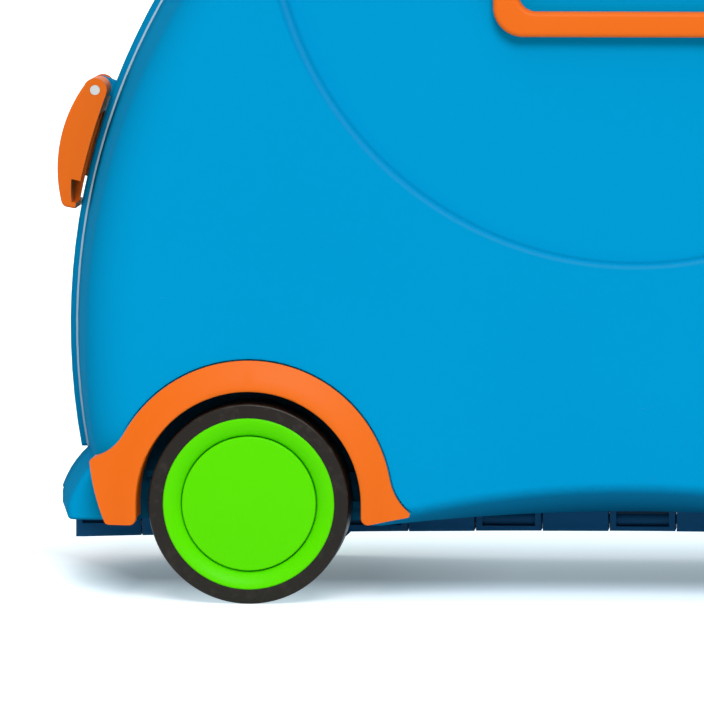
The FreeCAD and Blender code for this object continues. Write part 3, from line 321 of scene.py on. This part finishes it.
def scuff_group():
    """Hair-line scratches and rubbed patches, stronger towards the floor."""
    group, inlet, outlet = new_group("scuffs", [
        ("Vector", "Vector", None), ("Amount", "Float", 0.5), ("Reach", "Float", 0.2)],
        [("Mask", "Float", None)])
    split = add(group, "SeparateXYZ")
    wire(group, inlet.outputs["Vector"], split.inputs[0])
    stretched = add(group, "Mapping")
    wire(group, inlet.outputs["Vector"], stretched.inputs["Vector"])
    stretched.inputs["Rotation"].default_value = (0.3, 0.5, 0.2)
    stretched.inputs["Scale"].default_value = (1.0, 1.0, 14.0)
    lines = noise_node(group, stretched.outputs["Vector"], scale=90.0, detail=4, roughness=0.7)
    thin = spread_node(group, lines, 0.66, 0.72)
    rubbed = noise_node(group, inlet.outputs["Vector"], scale=22.0, detail=2)
    patches = spread_node(group, rubbed, 0.5, 0.7)
    low = spread_node(group, split.outputs["Z"], 0.0, inlet.outputs["Reach"], 1.0, 0.15)
    mask = math_node(group, "MULTIPLY", math_node(group, "MULTIPLY", thin, patches), low)
    wire(group, math_node(group, "MULTIPLY", mask, inlet.outputs["Amount"]), outlet.inputs["Mask"])


def painted_shade_group():
    """Masks of painted shade: in the wheel wells, low down on what faces the floor, and along the seam."""
    belly_fade, seam_near, seam_far = 10 * MM, 9 * MM, 24 * MM
    leaning, facing_down = -0.15, -0.95
    group, inlet, outlet = new_group("belly_grime", [
        ("Vector", "Vector", None), ("Normal", "Vector", None), ("Wheel Offset", "Float", 0.153),
        ("Wheel Height", "Float", 0.04), ("Well Radius", "Float", 0.0475), ("Belly Height", "Float", 0.06)],
        [("Well", "Float", None), ("Belly", "Float", None), ("Seam", "Float", None)])
    place = add(group, "SeparateXYZ")
    wire(group, inlet.outputs["Vector"], place.inputs[0])
    facing = add(group, "SeparateXYZ")
    wire(group, inlet.outputs["Normal"], facing.inputs[0])
    along = math_node(group, "SUBTRACT", math_node(group, "ABSOLUTE", place.outputs["X"]),
                      inlet.outputs["Wheel Offset"])
    above = math_node(group, "SUBTRACT", place.outputs["Z"], inlet.outputs["Wheel Height"])
    above = math_node(group, "MAXIMUM", above, 0.0)
    reach = math_node(group, "SQRT", math_node(group, "ADD", math_node(group, "POWER", along, 2.0),
                                               math_node(group, "POWER", above, 2.0)))
    beyond = math_node(group, "SUBTRACT", reach, inlet.outputs["Well Radius"])
    wire(group, spread_node(group, beyond, 0.0, MM, 1.0, 0.0), outlet.inputs["Well"])
    down = spread_node(group, facing.outputs["Z"], leaning, facing_down)
    below = math_node(group, "SUBTRACT", inlet.outputs["Belly Height"], place.outputs["Z"])
    low = spread_node(group, below, 0.0, belly_fade)
    wire(group, math_node(group, "MULTIPLY", down, low), outlet.inputs["Belly"])
    off_seam = math_node(group, "ABSOLUTE", place.outputs["Y"])
    wire(group, spread_node(group, off_seam, seam_near, seam_far, 1.0, 0.0), outlet.inputs["Seam"])


def ring_group():
    """Two soft lines along a round step about an axis along Y, one outside it and one inside, as masks for a
    painted highlight and painted shade.
    """
    softness = 1.2
    group, inlet, outlet = new_group("round_step", [
        ("Vector", "Vector", None), ("Height", "Float", 0.28), ("Radius", "Float", 0.1436),
        ("Width", "Float", 0.001)], [("Outside", "Float", None), ("Inside", "Float", None)])
    split = add(group, "SeparateXYZ")
    wire(group, inlet.outputs["Vector"], split.inputs[0])
    rise = math_node(group, "SUBTRACT", split.outputs["Z"], inlet.outputs["Height"])
    squares = [math_node(group, "POWER", axis, 2.0) for axis in (split.outputs["X"], rise)]
    reach = math_node(group, "SQRT", math_node(group, "ADD", *squares))
    beyond = math_node(group, "DIVIDE", math_node(group, "SUBTRACT", reach, inlet.outputs["Radius"]),
                       inlet.outputs["Width"])
    for label, sign in (("Outside", 1.0), ("Inside", -1.0)):
        away = math_node(group, "ABSOLUTE", math_node(group, "SUBTRACT", beyond, sign))
        wire(group, spread_node(group, away, 0.0, softness, 1.0, 0.0), outlet.inputs[label])


def group_node(tree, name, vector, **values):
    """Place a shared group in a material with its own values."""
    node = add(tree, "Group", node_tree=bpy.data.node_groups[name])
    wire(tree, vector, node.inputs["Vector"])
    for label, value in values.items():
        wire(tree, value, node.inputs[label.replace("_", " ")])
    return node


# Materials

def new_material(name):
    """Start a material. Gives its tree, its Principled shader and Object coordinates."""
    material = bpy.data.materials.new(name)
    material.use_nodes = True
    tree = material.node_tree
    return tree, tree.nodes["Principled BSDF"], add(tree, "TexCoord").outputs["Object"]


def opaque(colour):
    return (*colour, 1.0)


def toned(colour, gain, lift=0.0):
    return tuple(gain * part + lift for part in colour)


def grain_bump(tree, shader, place, strength, **grain):
    """Bump a shader with the grain of its tool."""
    height = group_node(tree, "tool_grain", place, **grain)
    bump = add(tree, "Bump")
    bump.inputs["Strength"].default_value = strength
    bump.inputs["Distance"].default_value = MM
    wire(tree, height.outputs["Height"], bump.inputs["Height"])
    wire(tree, bump.outputs["Normal"], shader.inputs["Normal"])


def moulded(name, colour, roughness, specular, drift=0.06, grain=1600.0, depth=0.02, scuffs=0.3, reach=0.2):
    """Moulded plastic or rubber: tone drift, tool grain, and hair-line scuffs. Also gives its colour."""
    tree, shader, place = new_material(name)
    tone = group_node(tree, "moulding_tone", place, Color=opaque(colour), Drift=drift)
    scuff = group_node(tree, "scuffs", place, Amount=scuffs, Reach=reach)
    lighter = toned(colour, gain=0.75, lift=0.25)
    finish = tint_node(tree, scuff.outputs["Mask"], tone.outputs["Color"], opaque(lighter))
    wire(tree, finish, shader.inputs["Base Color"])
    rubbed_gain = 0.25
    rubbed = spread_node(tree, scuff.outputs["Mask"], 0.0, 1.0, roughness, roughness + rubbed_gain)
    wire(tree, rubbed, shader.inputs["Roughness"])
    shader.inputs["Specular IOR Level"].default_value = specular
    grain_bump(tree, shader, place, depth, Grain=grain)
    return tree, shader, place, finish


def shell_plastic(colours, sizes, painted_light):
    """Blue satin plastic with painted shade in the wheel wells, under the belly and along the seam, painted
    shade in the corner of the leg recess and a painted highlight on its lip.
    """
    tree, shader, place, finish = moulded("blue_shell_plastic", colours.shell, roughness=0.85, specular=0.012,
                                          scuffs=0.15)
    step = group_node(tree, "round_step", place, Height=sizes.recess_height, Radius=sizes.recess_radius,
                      Width=sizes.recess_line)
    wheel = middle("front_left_tyre")
    painted_shade = group_node(tree, "belly_grime", place, Normal=add(tree, "NewGeometry").outputs["Normal"],
                       Wheel_Offset=abs(wheel.x), Wheel_Height=wheel.z)
    for mask, share, colour in (
            # Painted shade in the corner of the leg recess and a painted highlight on its lip
            (step.outputs["Inside"], painted_light.recess_shade, toned(colours.shell, gain=0.55)),
            (step.outputs["Outside"], painted_light.recess_gleam, toned(colours.shell, gain=0.7, lift=0.12)),
            # Painted shade in the wheel wells, under the belly and along the seam
            (painted_shade.outputs["Well"], painted_light.well, colours.painted_shade),
            (painted_shade.outputs["Belly"], painted_light.belly, colours.painted_shade),
            (painted_shade.outputs["Seam"], painted_light.seam, colours.painted_shade)):
        finish = tint_node(tree, math_node(tree, "MULTIPLY", mask, share), finish, opaque(colour))
    wire(tree, finish, shader.inputs["Base Color"])


def tyre_rubber(colours):
    """Soft black rubber with a patchy bloom of dust and a fine grain."""
    tree, shader, place = new_material("black_tyre_rubber")
    tone = group_node(tree, "moulding_tone", place, Color=opaque(colours.tyre), Drift=0.35, Scale=60.0)
    most_dust = 0.16
    patches = noise_node(tree, place, scale=240.0, detail=5, roughness=0.65)
    dust = spread_node(tree, patches, 0.52, 0.78, 0.0, most_dust)
    finish = tint_node(tree, dust, tone.outputs["Color"], opaque(colours.dust))
    wire(tree, finish, shader.inputs["Base Color"])
    wire(tree, spread_node(tree, dust, 0.0, most_dust, 0.3, 0.6), shader.inputs["Roughness"])
    shader.inputs["Specular IOR Level"].default_value = 0.2
    grain_bump(tree, shader, place, 0.08, Grain=2200.0, Ripple=500.0)


def turned_steel(name, colour):
    """Steel with an uneven sheen."""
    tree, shader, place = new_material(name)
    tone = group_node(tree, "moulding_tone", place, Color=opaque(colour), Drift=0.2, Scale=120.0)
    wire(tree, tone.outputs["Color"], shader.inputs["Base Color"])
    shader.inputs["Metallic"].default_value = 1.0
    marks = noise_node(tree, place, scale=900.0, detail=3)
    wire(tree, spread_node(tree, marks, 0.3, 0.7, 0.25, 0.42), shader.inputs["Roughness"])


def hinge_plastic(colours, sizes):
    """Navy plastic with painted shade deep in the knuckles' pockets, on the flanks of the barrels."""
    tree, shader, place, finish = moulded("navy_hinge_plastic", colours.hinge, roughness=0.45, specular=0.12,
                                          drift=0.12, scuffs=0.15)
    split = add(tree, "SeparateXYZ")
    wire(tree, place, split.inputs[0])
    off_axis = math_node(tree, "ABSOLUTE", split.outputs["Y"])
    # Painted shade: strongest at the pockets' floor, weaker out to the barrels' radius, and gone a millimetre
    # past it
    deep = spread_node(tree, off_axis, sizes.pocket_floor, sizes.barrel_radius, 0.8, 0.15)
    shallow = spread_node(tree, off_axis, sizes.barrel_radius, sizes.barrel_radius + MM, 1.0, 0.0)
    dirt = math_node(tree, "MULTIPLY", deep, shallow)
    wire(tree, tint_node(tree, dirt, finish, opaque(colours.painted_shade)), shader.inputs["Base Color"])


def make_materials(scene):
    colours, sizes = scene.suitcase_colours, scene.suitcase_sizes
    for build in (tone_group, grain_group, scuff_group, painted_shade_group, ring_group):
        build()
    shell_plastic(colours, sizes, scene.suitcase_wear)
    tyre_rubber(colours)
    hinge_plastic(colours, sizes)
    turned_steel("plated_steel", colours.steel)
    turned_steel("blackened_steel", colours.black_steel)
    moulded("orange_trim_plastic", colours.trim, roughness=0.45, specular=0.16, drift=0.05, scuffs=0.1)
    moulded("green_wheel_plastic", colours.wheel, roughness=0.36, specular=0.05, drift=0.04, scuffs=0.1,
            reach=0.1)
    # The seal's pale colour also paints the highlight along the edge of the seam
    moulded("pale_seal_rubber", colours.seal, roughness=0.6, specular=0.25, drift=0.1, scuffs=0.0)
    moulded("orange_grip_rubber", colours.grip, roughness=0.62, specular=0.25, grain=900.0, depth=0.08,
            scuffs=0.1)


# Pieces

def finish_node(node, material, edge=0.0):
    """Give a solid's own mesh smooth shading, softened edges and a finish."""
    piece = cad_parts[node]
    piece.data.materials.clear()
    piece.data.materials.append(bpy.data.materials[material])
    piece.data.polygons.foreach_set("use_smooth", [True] * len(piece.data.polygons))
    weld = piece.modifiers.new("weld", "WELD")
    weld.merge_threshold = MERGE_DISTANCE
    if edge:
        flat = piece.modifiers.new("flats", "DECIMATE")
        flat.decimate_type = "DISSOLVE"
        flat.angle_limit = FLAT_ANGLE
        rounding = piece.modifiers.new("rounding", "BEVEL")
        rounding.limit_method = "ANGLE"
        rounding.angle_limit = ROUNDING_ANGLE
        rounding.width = edge
        rounding.segments = ROUNDING_STEPS
        rounding.use_clamp_overlap = True
    split = piece.modifiers.new("creases", "EDGE_SPLIT")
    split.split_angle = CREASE_ANGLE
    split.use_edge_sharp = False


def add_piece(name, bm, body, slot, material, *nodes):
    """Make a finished mesh into a piece that rides on a body and stands for some solids."""
    bmesh.ops.recalc_face_normals(bm, faces=bm.faces)
    mesh = bpy.data.meshes.new(name)
    bm.to_mesh(mesh)
    bm.free()
    mesh.materials.append(bpy.data.materials[material])
    mesh.shade_smooth()
    mesh.set_sharp_from_angle(angle=CREASE_ANGLE)
    piece = bpy.data.objects.new(name, mesh)
    bpy.context.scene.collection.objects.link(piece)
    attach(piece, body)
    if nodes:
        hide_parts(*nodes)


def spin_ring(profile, centre, inward, steps):
    """Turn a closed profile of (radius, depth) corners about an axle along Y.

    Depth runs from the centre point in the inward direction, +1 or -1 along Y.
    """
    bm = bmesh.new()
    corners = [bm.verts.new((centre.x, centre.y + inward * depth, centre.z + radius))
               for radius, depth in profile]
    edges = [bm.edges.new(pair) for pair in zip(corners, corners[1:] + corners[:1])]
    bmesh.ops.spin(bm, geom=corners + edges, cent=centre, axis=(0, 1, 0), dvec=(0, 0, 0),
                   angle=2 * math.pi, steps=steps, use_merge=True, use_duplicate=False)
    bmesh.ops.remove_doubles(bm, verts=bm.verts, dist=MERGE_DISTANCE)
    return bm


def round_rings(bm, centre, inward, corners, width, segments):
    """Bevel the rings that lie at some (radius, depth) corners of a spun piece."""
    def at_corner(vert):
        radius = math.hypot(vert.co.x - centre.x, vert.co.z - centre.z)
        depth = (vert.co.y - centre.y) * inward
        return any(math.hypot(radius - r, depth - d) < CORNER_TOLERANCE for r, d in corners)
    rings = [edge for edge in bm.edges if all(at_corner(vert) for vert in edge.verts)]
    bmesh.ops.bevel(bm, geom=rings, offset=width, segments=segments, profile=0.5, affect="EDGES",
                    material=-1, clamp_overlap=True)


def wheel_face(corner):
    """The point on the axle at the wheel's outer face, and which way along Y is inward."""
    low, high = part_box(corner + "_wheel_rim")
    inward = 1 if "left" in corner else -1
    centre = middle(corner + "_wheel_rim")
    centre.y = low.y if inward > 0 else high.y
    return centre, inward


def face_depth(node, centre, inward):
    """How far a node's outer face lies behind a wheel's outer face."""
    low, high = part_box(node)
    return ((low.y if inward > 0 else high.y) - centre.y) * inward


class SUITCASE_OT_tyres(bpy.types.Operator):
    """Model the four rubber tyres"""
    bl_idname = "suitcase.tyres"
    bl_label = "Tyres"

    def execute(self, context):
        sizes = context.scene.suitcase_sizes
        for corner in CORNERS:
            centre, inward = wheel_face(corner)
            node = corner + "_tyre"
            front = face_depth(node, centre, inward)
            back = front + sizes.tyre_width
            tread = [(sizes.tyre_radius, front), (sizes.tyre_radius, back)]
            profile = [(sizes.rim_radius, front), *tread, (sizes.rim_radius, back)]
            bm = spin_ring(profile, centre, inward, sizes.wheel_steps)
            round_rings(bm, centre, inward, tread, sizes.tyre_shoulder, SHOULDER_STEPS)
            add_piece(corner + "_soft_tyre", bm, corner + "_wheel", "tyre_rubber", "black_tyre_rubber", node)
        return {"FINISHED"}


class SUITCASE_OT_rims(bpy.types.Operator):
    """Model the four dished rims and their round hub caps"""
    bl_idname = "suitcase.rims"
    bl_label = "Rims and hub caps"

    def execute(self, context):
        sizes = context.scene.suitcase_sizes
        for corner in CORNERS:
            centre, inward = wheel_face(corner)
            self.rim(sizes, corner, centre, inward)
            self.cap(sizes, corner, centre, inward)
        return {"FINISHED"}

    def rim(self, sizes, corner, centre, inward):
        node = corner + "_wheel_rim"
        depth = extent(node, 1)
        width = sizes.tyre_width
        back = sizes.web_depth + sizes.web_thickness
        inner = sizes.rim_radius - sizes.rim_wall
        dish = []
        for step in range(DISH_STEPS + 1):
            share = step / DISH_STEPS
            radius = sizes.dish_radius + (sizes.rim_radius - sizes.dish_radius) * share
            dish.append((radius, sizes.dish_depth * (1 - share) ** 2))
        profile = [(sizes.bore_radius, sizes.web_depth), (sizes.dish_radius, sizes.web_depth), *dish,
                   (sizes.rim_radius, width), (inner, width), (inner, back), (sizes.hub_radius, back),
                   (sizes.hub_radius, depth), (sizes.bore_radius, depth)]
        bm = spin_ring(profile, centre, inward, sizes.wheel_steps)
        round_rings(bm, centre, inward, [dish[-1], dish[0]], sizes.rim_edge, RIM_EDGE_STEPS)
        add_piece(corner + "_dished_rim", bm, corner + "_wheel", "wheel_plastic", "green_wheel_plastic", node)

    def cap(self, sizes, corner, centre, inward):
        node = corner + "_hub_cap"
        front = face_depth(node, centre, inward)
        back = front + sizes.cap_thickness
        edge = [(sizes.cap_radius, front)]
        profile = [(0, front), *edge, (sizes.cap_radius, back), (0, back)]
        bm = spin_ring(profile, centre, inward, sizes.wheel_steps)
        round_rings(bm, centre, inward, edge, sizes.cap_edge, CAP_EDGE_STEPS)
        add_piece(corner + "_round_cap", bm, corner + "_wheel", "wheel_plastic", "green_wheel_plastic", node)


class SUITCASE_OT_shells(bpy.types.Operator):
    """Finish the two half shells and the seal between them"""
    bl_idname = "suitcase.shells"
    bl_label = "Half shells and seal"

    def execute(self, context):
        for half in HALVES:
            finish_node(half + "_shell", "blue_shell_plastic")
        finish_node("rim_seal", "pale_seal_rubber")
        return {"FINISHED"}


class SUITCASE_OT_hinge(bpy.types.Operator):
    """Finish the leaves and the pin of the belly hinge"""
    bl_idname = "suitcase.hinge"
    bl_label = "Belly hinge"

    def execute(self, context):
        sizes = context.scene.suitcase_sizes
        for half in HALVES:
            finish_node(half + "_hinge_leaf", "navy_hinge_plastic", sizes.moulded_edge)
            self.barrels(sizes, half)
        finish_node("hinge_pin", "blackened_steel")
        return {"FINISHED"}

    def barrels(self, sizes, half):
        """The round barrels of the pin, which show in the pockets of one leaf's knuckles."""
        axis = middle("hinge_pin")
        outward = 1 if half == "left" else -1
        pitch = (extent("hinge_pin", 0) + sizes.knuckle_gap) / sizes.knuckles
        width = pitch - sizes.knuckle_gap - 2 * sizes.pocket_frame
        half_turn = math.acos(sizes.pocket_floor / sizes.barrel_radius)
        # The right leaf has the two end knuckles, and the left leaf those between
        first = -(sizes.knuckles - (3 if half == "left" else 1)) // 2
        bm = bmesh.new()
        for number in range(first, -first + 1, 2):
            start = axis + Vector((number * pitch - width / 2, outward * sizes.barrel_radius, 0))
            start = Matrix.Rotation(half_turn, 4, "X") @ (start - axis) + axis
            corner = bm.verts.new(start)
            swept = bmesh.ops.spin(bm, geom=[corner], cent=axis, axis=(1, 0, 0), dvec=(0, 0, 0),
                                   angle=-2 * half_turn, steps=BARREL_STEPS, use_merge=False,
                                   use_duplicate=False)
            last = swept["geom_last"][0]
            bm.edges.new((corner, last))
            loop = [edge for edge in bm.edges if edge.is_wire]
            face = bmesh.ops.contextual_create(bm, geom=loop)["faces"]
            grown = bmesh.ops.extrude_face_region(bm, geom=face)["geom"]
            far_end = [item for item in grown if isinstance(item, bmesh.types.BMVert)]
            bmesh.ops.translate(bm, vec=(width, 0, 0), verts=far_end)
        add_piece(half + "_hinge_barrels", bm, half + "_half", "hinge_plastic", "navy_hinge_plastic")


class SUITCASE_OT_arches(bpy.types.Operator):
    """Finish the four wheel arches"""
    bl_idname = "suitcase.arches"
    bl_label = "Wheel arches"

    def execute(self, context):
        for corner in CORNERS:
            finish_node(corner + "_wheel_arch", "orange_trim_plastic")
        return {"FINISHED"}


class SUITCASE_OT_latches(bpy.types.Operator):
    """Finish the two end latches and their pins"""
    bl_idname = "suitcase.latches"
    bl_label = "End latches"

    def execute(self, context):
        for end in ENDS:
            finish_node(end + "_latch", "orange_trim_plastic")
            finish_node(end + "_latch_pin", "plated_steel")
        return {"FINISHED"}


class SUITCASE_OT_handles(bpy.types.Operator):
    """Finish the carry handles, the front grips and what holds them"""
    bl_idname = "suitcase.handles"
    bl_label = "Handles and grips"

    def execute(self, context):
        for half in HALVES:
            finish_node(half + "_handle", "orange_trim_plastic")
            finish_node(half + "_handle_pins", "plated_steel")
            finish_node(half + "_grip_screw", "plated_steel")
            self.grip(context.scene.suitcase_sizes, half)
        return {"FINISHED"}

    def grip(self, sizes, half):
        """A ribbed rubber grip with a flange at its foot and a domed knob at its end."""
        node = half + "_grip"
        low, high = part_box(node)
        outward = -1 if half == "left" else 1
        base = middle(node)
        inner_side = high.y if outward < 0 else low.y
        base.y = inner_side + outward * sizes.grip_base * math.cos(sizes.grip_lean)
        base.z = low.z + sizes.grip_base * math.sin(sizes.grip_lean)
        knob_start = sizes.grip_length - sizes.grip_knob
        stem_start = 2 * sizes.grip_flange
        profile = [(0, 0), (sizes.grip_base, 0), (sizes.grip_base, sizes.grip_flange)]
        steps = RIB_STEPS * sizes.grip_ribs
        for step in range(steps + 1):
            share = step / steps
            swell = sizes.grip_rib * math.sin(math.pi * sizes.grip_ribs * share) ** 2
            profile.append((sizes.grip_stem + swell, stem_start + (knob_start - stem_start) * share))
        for step in range(KNOB_STEPS + 1):
            angle = math.radians(90 * step / KNOB_STEPS)
            profile.append((sizes.grip_knob * math.cos(angle),
                            sizes.grip_length - sizes.grip_knob / 2 * (1 - math.sin(angle))))
        bm = bmesh.new()
        corners = [bm.verts.new((radius, 0, height)) for radius, height in profile]
        edges = [bm.edges.new(pair) for pair in zip(corners, corners[1:])]
        bmesh.ops.spin(bm, geom=corners + edges, cent=(0, 0, 0), axis=(0, 0, 1), dvec=(0, 0, 0),
                       angle=2 * math.pi, steps=sizes.wheel_steps // 2, use_merge=True, use_duplicate=False)
        bmesh.ops.remove_doubles(bm, verts=bm.verts, dist=MERGE_DISTANCE)
        lean = Matrix.Rotation(-outward * sizes.grip_lean, 4, "X")
        bmesh.ops.transform(bm, matrix=Matrix.Translation(base) @ lean, verts=bm.verts)
        add_piece(half + "_ribbed_grip", bm, half + "_half", "grip_rubber", "orange_grip_rubber", node)


class SUITCASE_OT_fasteners(bpy.types.Operator):
    """Finish the axles, their clips and the screws"""
    bl_idname = "suitcase.fasteners"
    bl_label = "Axles and screws"

    def execute(self, context):
        for corner in CORNERS:
            finish_node(corner + "_axle", "plated_steel")
        for half in HALVES:
            for kind in ("axle_clips", "arch_screws", "hinge_screws"):
                finish_node(f"{half}_{kind}", "plated_steel")
        return {"FINISHED"}


class SUITCASE_OT_stage(bpy.types.Operator):
    """Set up the floor, the light and the camera"""
    bl_idname = "suitcase.stage"
    bl_label = "Studio"

    def execute(self, context):
        stage = context.scene.suitcase_stage
        self.floor(context, stage)
        self.lights(context, stage)
        self.camera(context, stage)
        context.scene.view_settings.view_transform = "Standard"
        return {"FINISHED"}

    def floor(self, context, stage):
        bm = bmesh.new()
        bmesh.ops.create_grid(bm, x_segments=1, y_segments=1, size=stage.floor_size / 2)
        mesh = bpy.data.meshes.new("studio_floor")
        bm.to_mesh(mesh)
        bm.free()
        floor = bpy.data.objects.new("studio_floor", mesh)
        context.scene.collection.objects.link(floor)
        tree, shader, place = new_material("studio_floor")
        shader.inputs["Base Color"].default_value = opaque(stage.floor)
        shader.inputs["Roughness"].default_value = 0.9
        shader.inputs["Specular IOR Level"].default_value = 0.0
        shader.inputs["Emission Color"].default_value = opaque(stage.floor_tint)
        glow = math_node(tree, "MULTIPLY", shown_node(tree), self.glow(tree, place, stage))
        wire(tree, glow, shader.inputs["Emission Strength"])
        mesh.materials.append(bpy.data.materials["studio_floor"])

    def glow(self, tree, place, stage):
        """The floor's glow, which paints the case's shadow: low under the case, lower by the wheels, and full
        on the open floor all round.
        """
        split = add(tree, "SeparateXYZ")
        wire(tree, place, split.inputs[0])
        along = math_node(tree, "ABSOLUTE", split.outputs["X"])
        across = split.outputs["Y"]
        ahead = spread_node(tree, across, 0.0, -stage.front_fade)
        behind = math_node(tree, "POWER", spread_node(tree, across, 0.0, stage.back_fade), 2.0)
        depth = math_node(tree, "ADD", across, stage.end_depth)
        slant = math_node(tree, "MULTIPLY", depth, stage.end_slant)
        beyond = spread_node(tree, math_node(tree, "SUBTRACT", along, slant),
                             SOLID_BOX[1].x - stage.end_fade, SOLID_BOX[1].x)
        around = math_node(tree, "MAXIMUM", math_node(tree, "MAXIMUM", ahead, behind), beyond)
        wheel = abs(middle("front_left_tyre").x) - extent("front_left_tyre", 0) / 2
        dim = spread_node(tree, along, wheel - stage.wheel_fade, wheel, stage.floor_glow, stage.wheel_glow)
        return spread_node(tree, around, 0.0, 1.0, dim, stage.open_glow)

    def lights(self, context, stage):
        world = bpy.data.worlds.new("studio_sky")
        world.use_nodes = True
        context.scene.world = world
        tree = world.node_tree
        sky = tree.nodes["Background"]
        sky.inputs["Color"].default_value = (1, 1, 1, 1)
        wire(tree, spread_node(tree, shown_node(tree), 0.0, 1.0, stage.sky, 1.0), sky.inputs["Strength"])
        for name, (tilt, turn, spread) in LAMPS.items():
            lamp = bpy.data.lights.new(name, "SUN")
            lamp.energy = getattr(stage, name)
            lamp.angle = math.radians(spread)
            light = bpy.data.objects.new(name, lamp)
            light.rotation_euler = (math.radians(tilt), 0, math.radians(turn))
            context.scene.collection.objects.link(light)

    def camera(self, context, stage):
        lens = bpy.data.cameras.new("photo_camera")
        lens.lens = stage.camera_lens
        lens.clip_end = CLIP_END
        camera = bpy.data.objects.new("photo_camera", lens)
        camera.location = stage.camera_place
        view = Vector(stage.camera_target) - Vector(stage.camera_place)
        camera.rotation_euler = view.to_track_quat("-Z", "Y").to_euler()
        context.scene.collection.objects.link(camera)
        context.scene.camera = camera


OPERATORS = (
    SUITCASE_OT_shells,
    SUITCASE_OT_hinge,
    SUITCASE_OT_tyres,
    SUITCASE_OT_rims,
    SUITCASE_OT_arches,
    SUITCASE_OT_latches,
    SUITCASE_OT_handles,
    SUITCASE_OT_fasteners,
    SUITCASE_OT_stage,
)


class SUITCASE_PT_panel(bpy.types.Panel):
    """Buttons that build the suitcase piece by piece"""
    bl_idname = "SUITCASE_PT_panel"
    bl_label = "Ride-on Suitcase"
    bl_space_type = "VIEW_3D"
    bl_region_type = "UI"
    bl_category = "Suitcase"

    def draw(self, context):
        for operator in OPERATORS:
            self.layout.operator(operator.bl_idname)


SETTINGS = {
    "suitcase_colours": SuitcaseColours,
    "suitcase_sizes": SuitcaseSizes,
    "suitcase_wear": SuitcasePaintedLight,
    "suitcase_stage": SuitcaseStage,
}
CLASSES = (*SETTINGS.values(), *OPERATORS, SUITCASE_PT_panel)


def register():
    for item in CLASSES:
        bpy.utils.register_class(item)
    for name, group in SETTINGS.items():
        setattr(bpy.types.Scene, name, PointerProperty(type=group))


def unregister():
    for name in SETTINGS:
        delattr(bpy.types.Scene, name)
    for item in reversed(CLASSES):
        bpy.utils.unregister_class(item)


def main():
    register()
    make_materials(bpy.context.scene)
    for operator in OPERATORS:
        family, action = operator.bl_idname.split(".")
        getattr(getattr(bpy.ops, family), action)()
    bpy.context.view_layer.update()


if __name__ == "__main__":
    main()
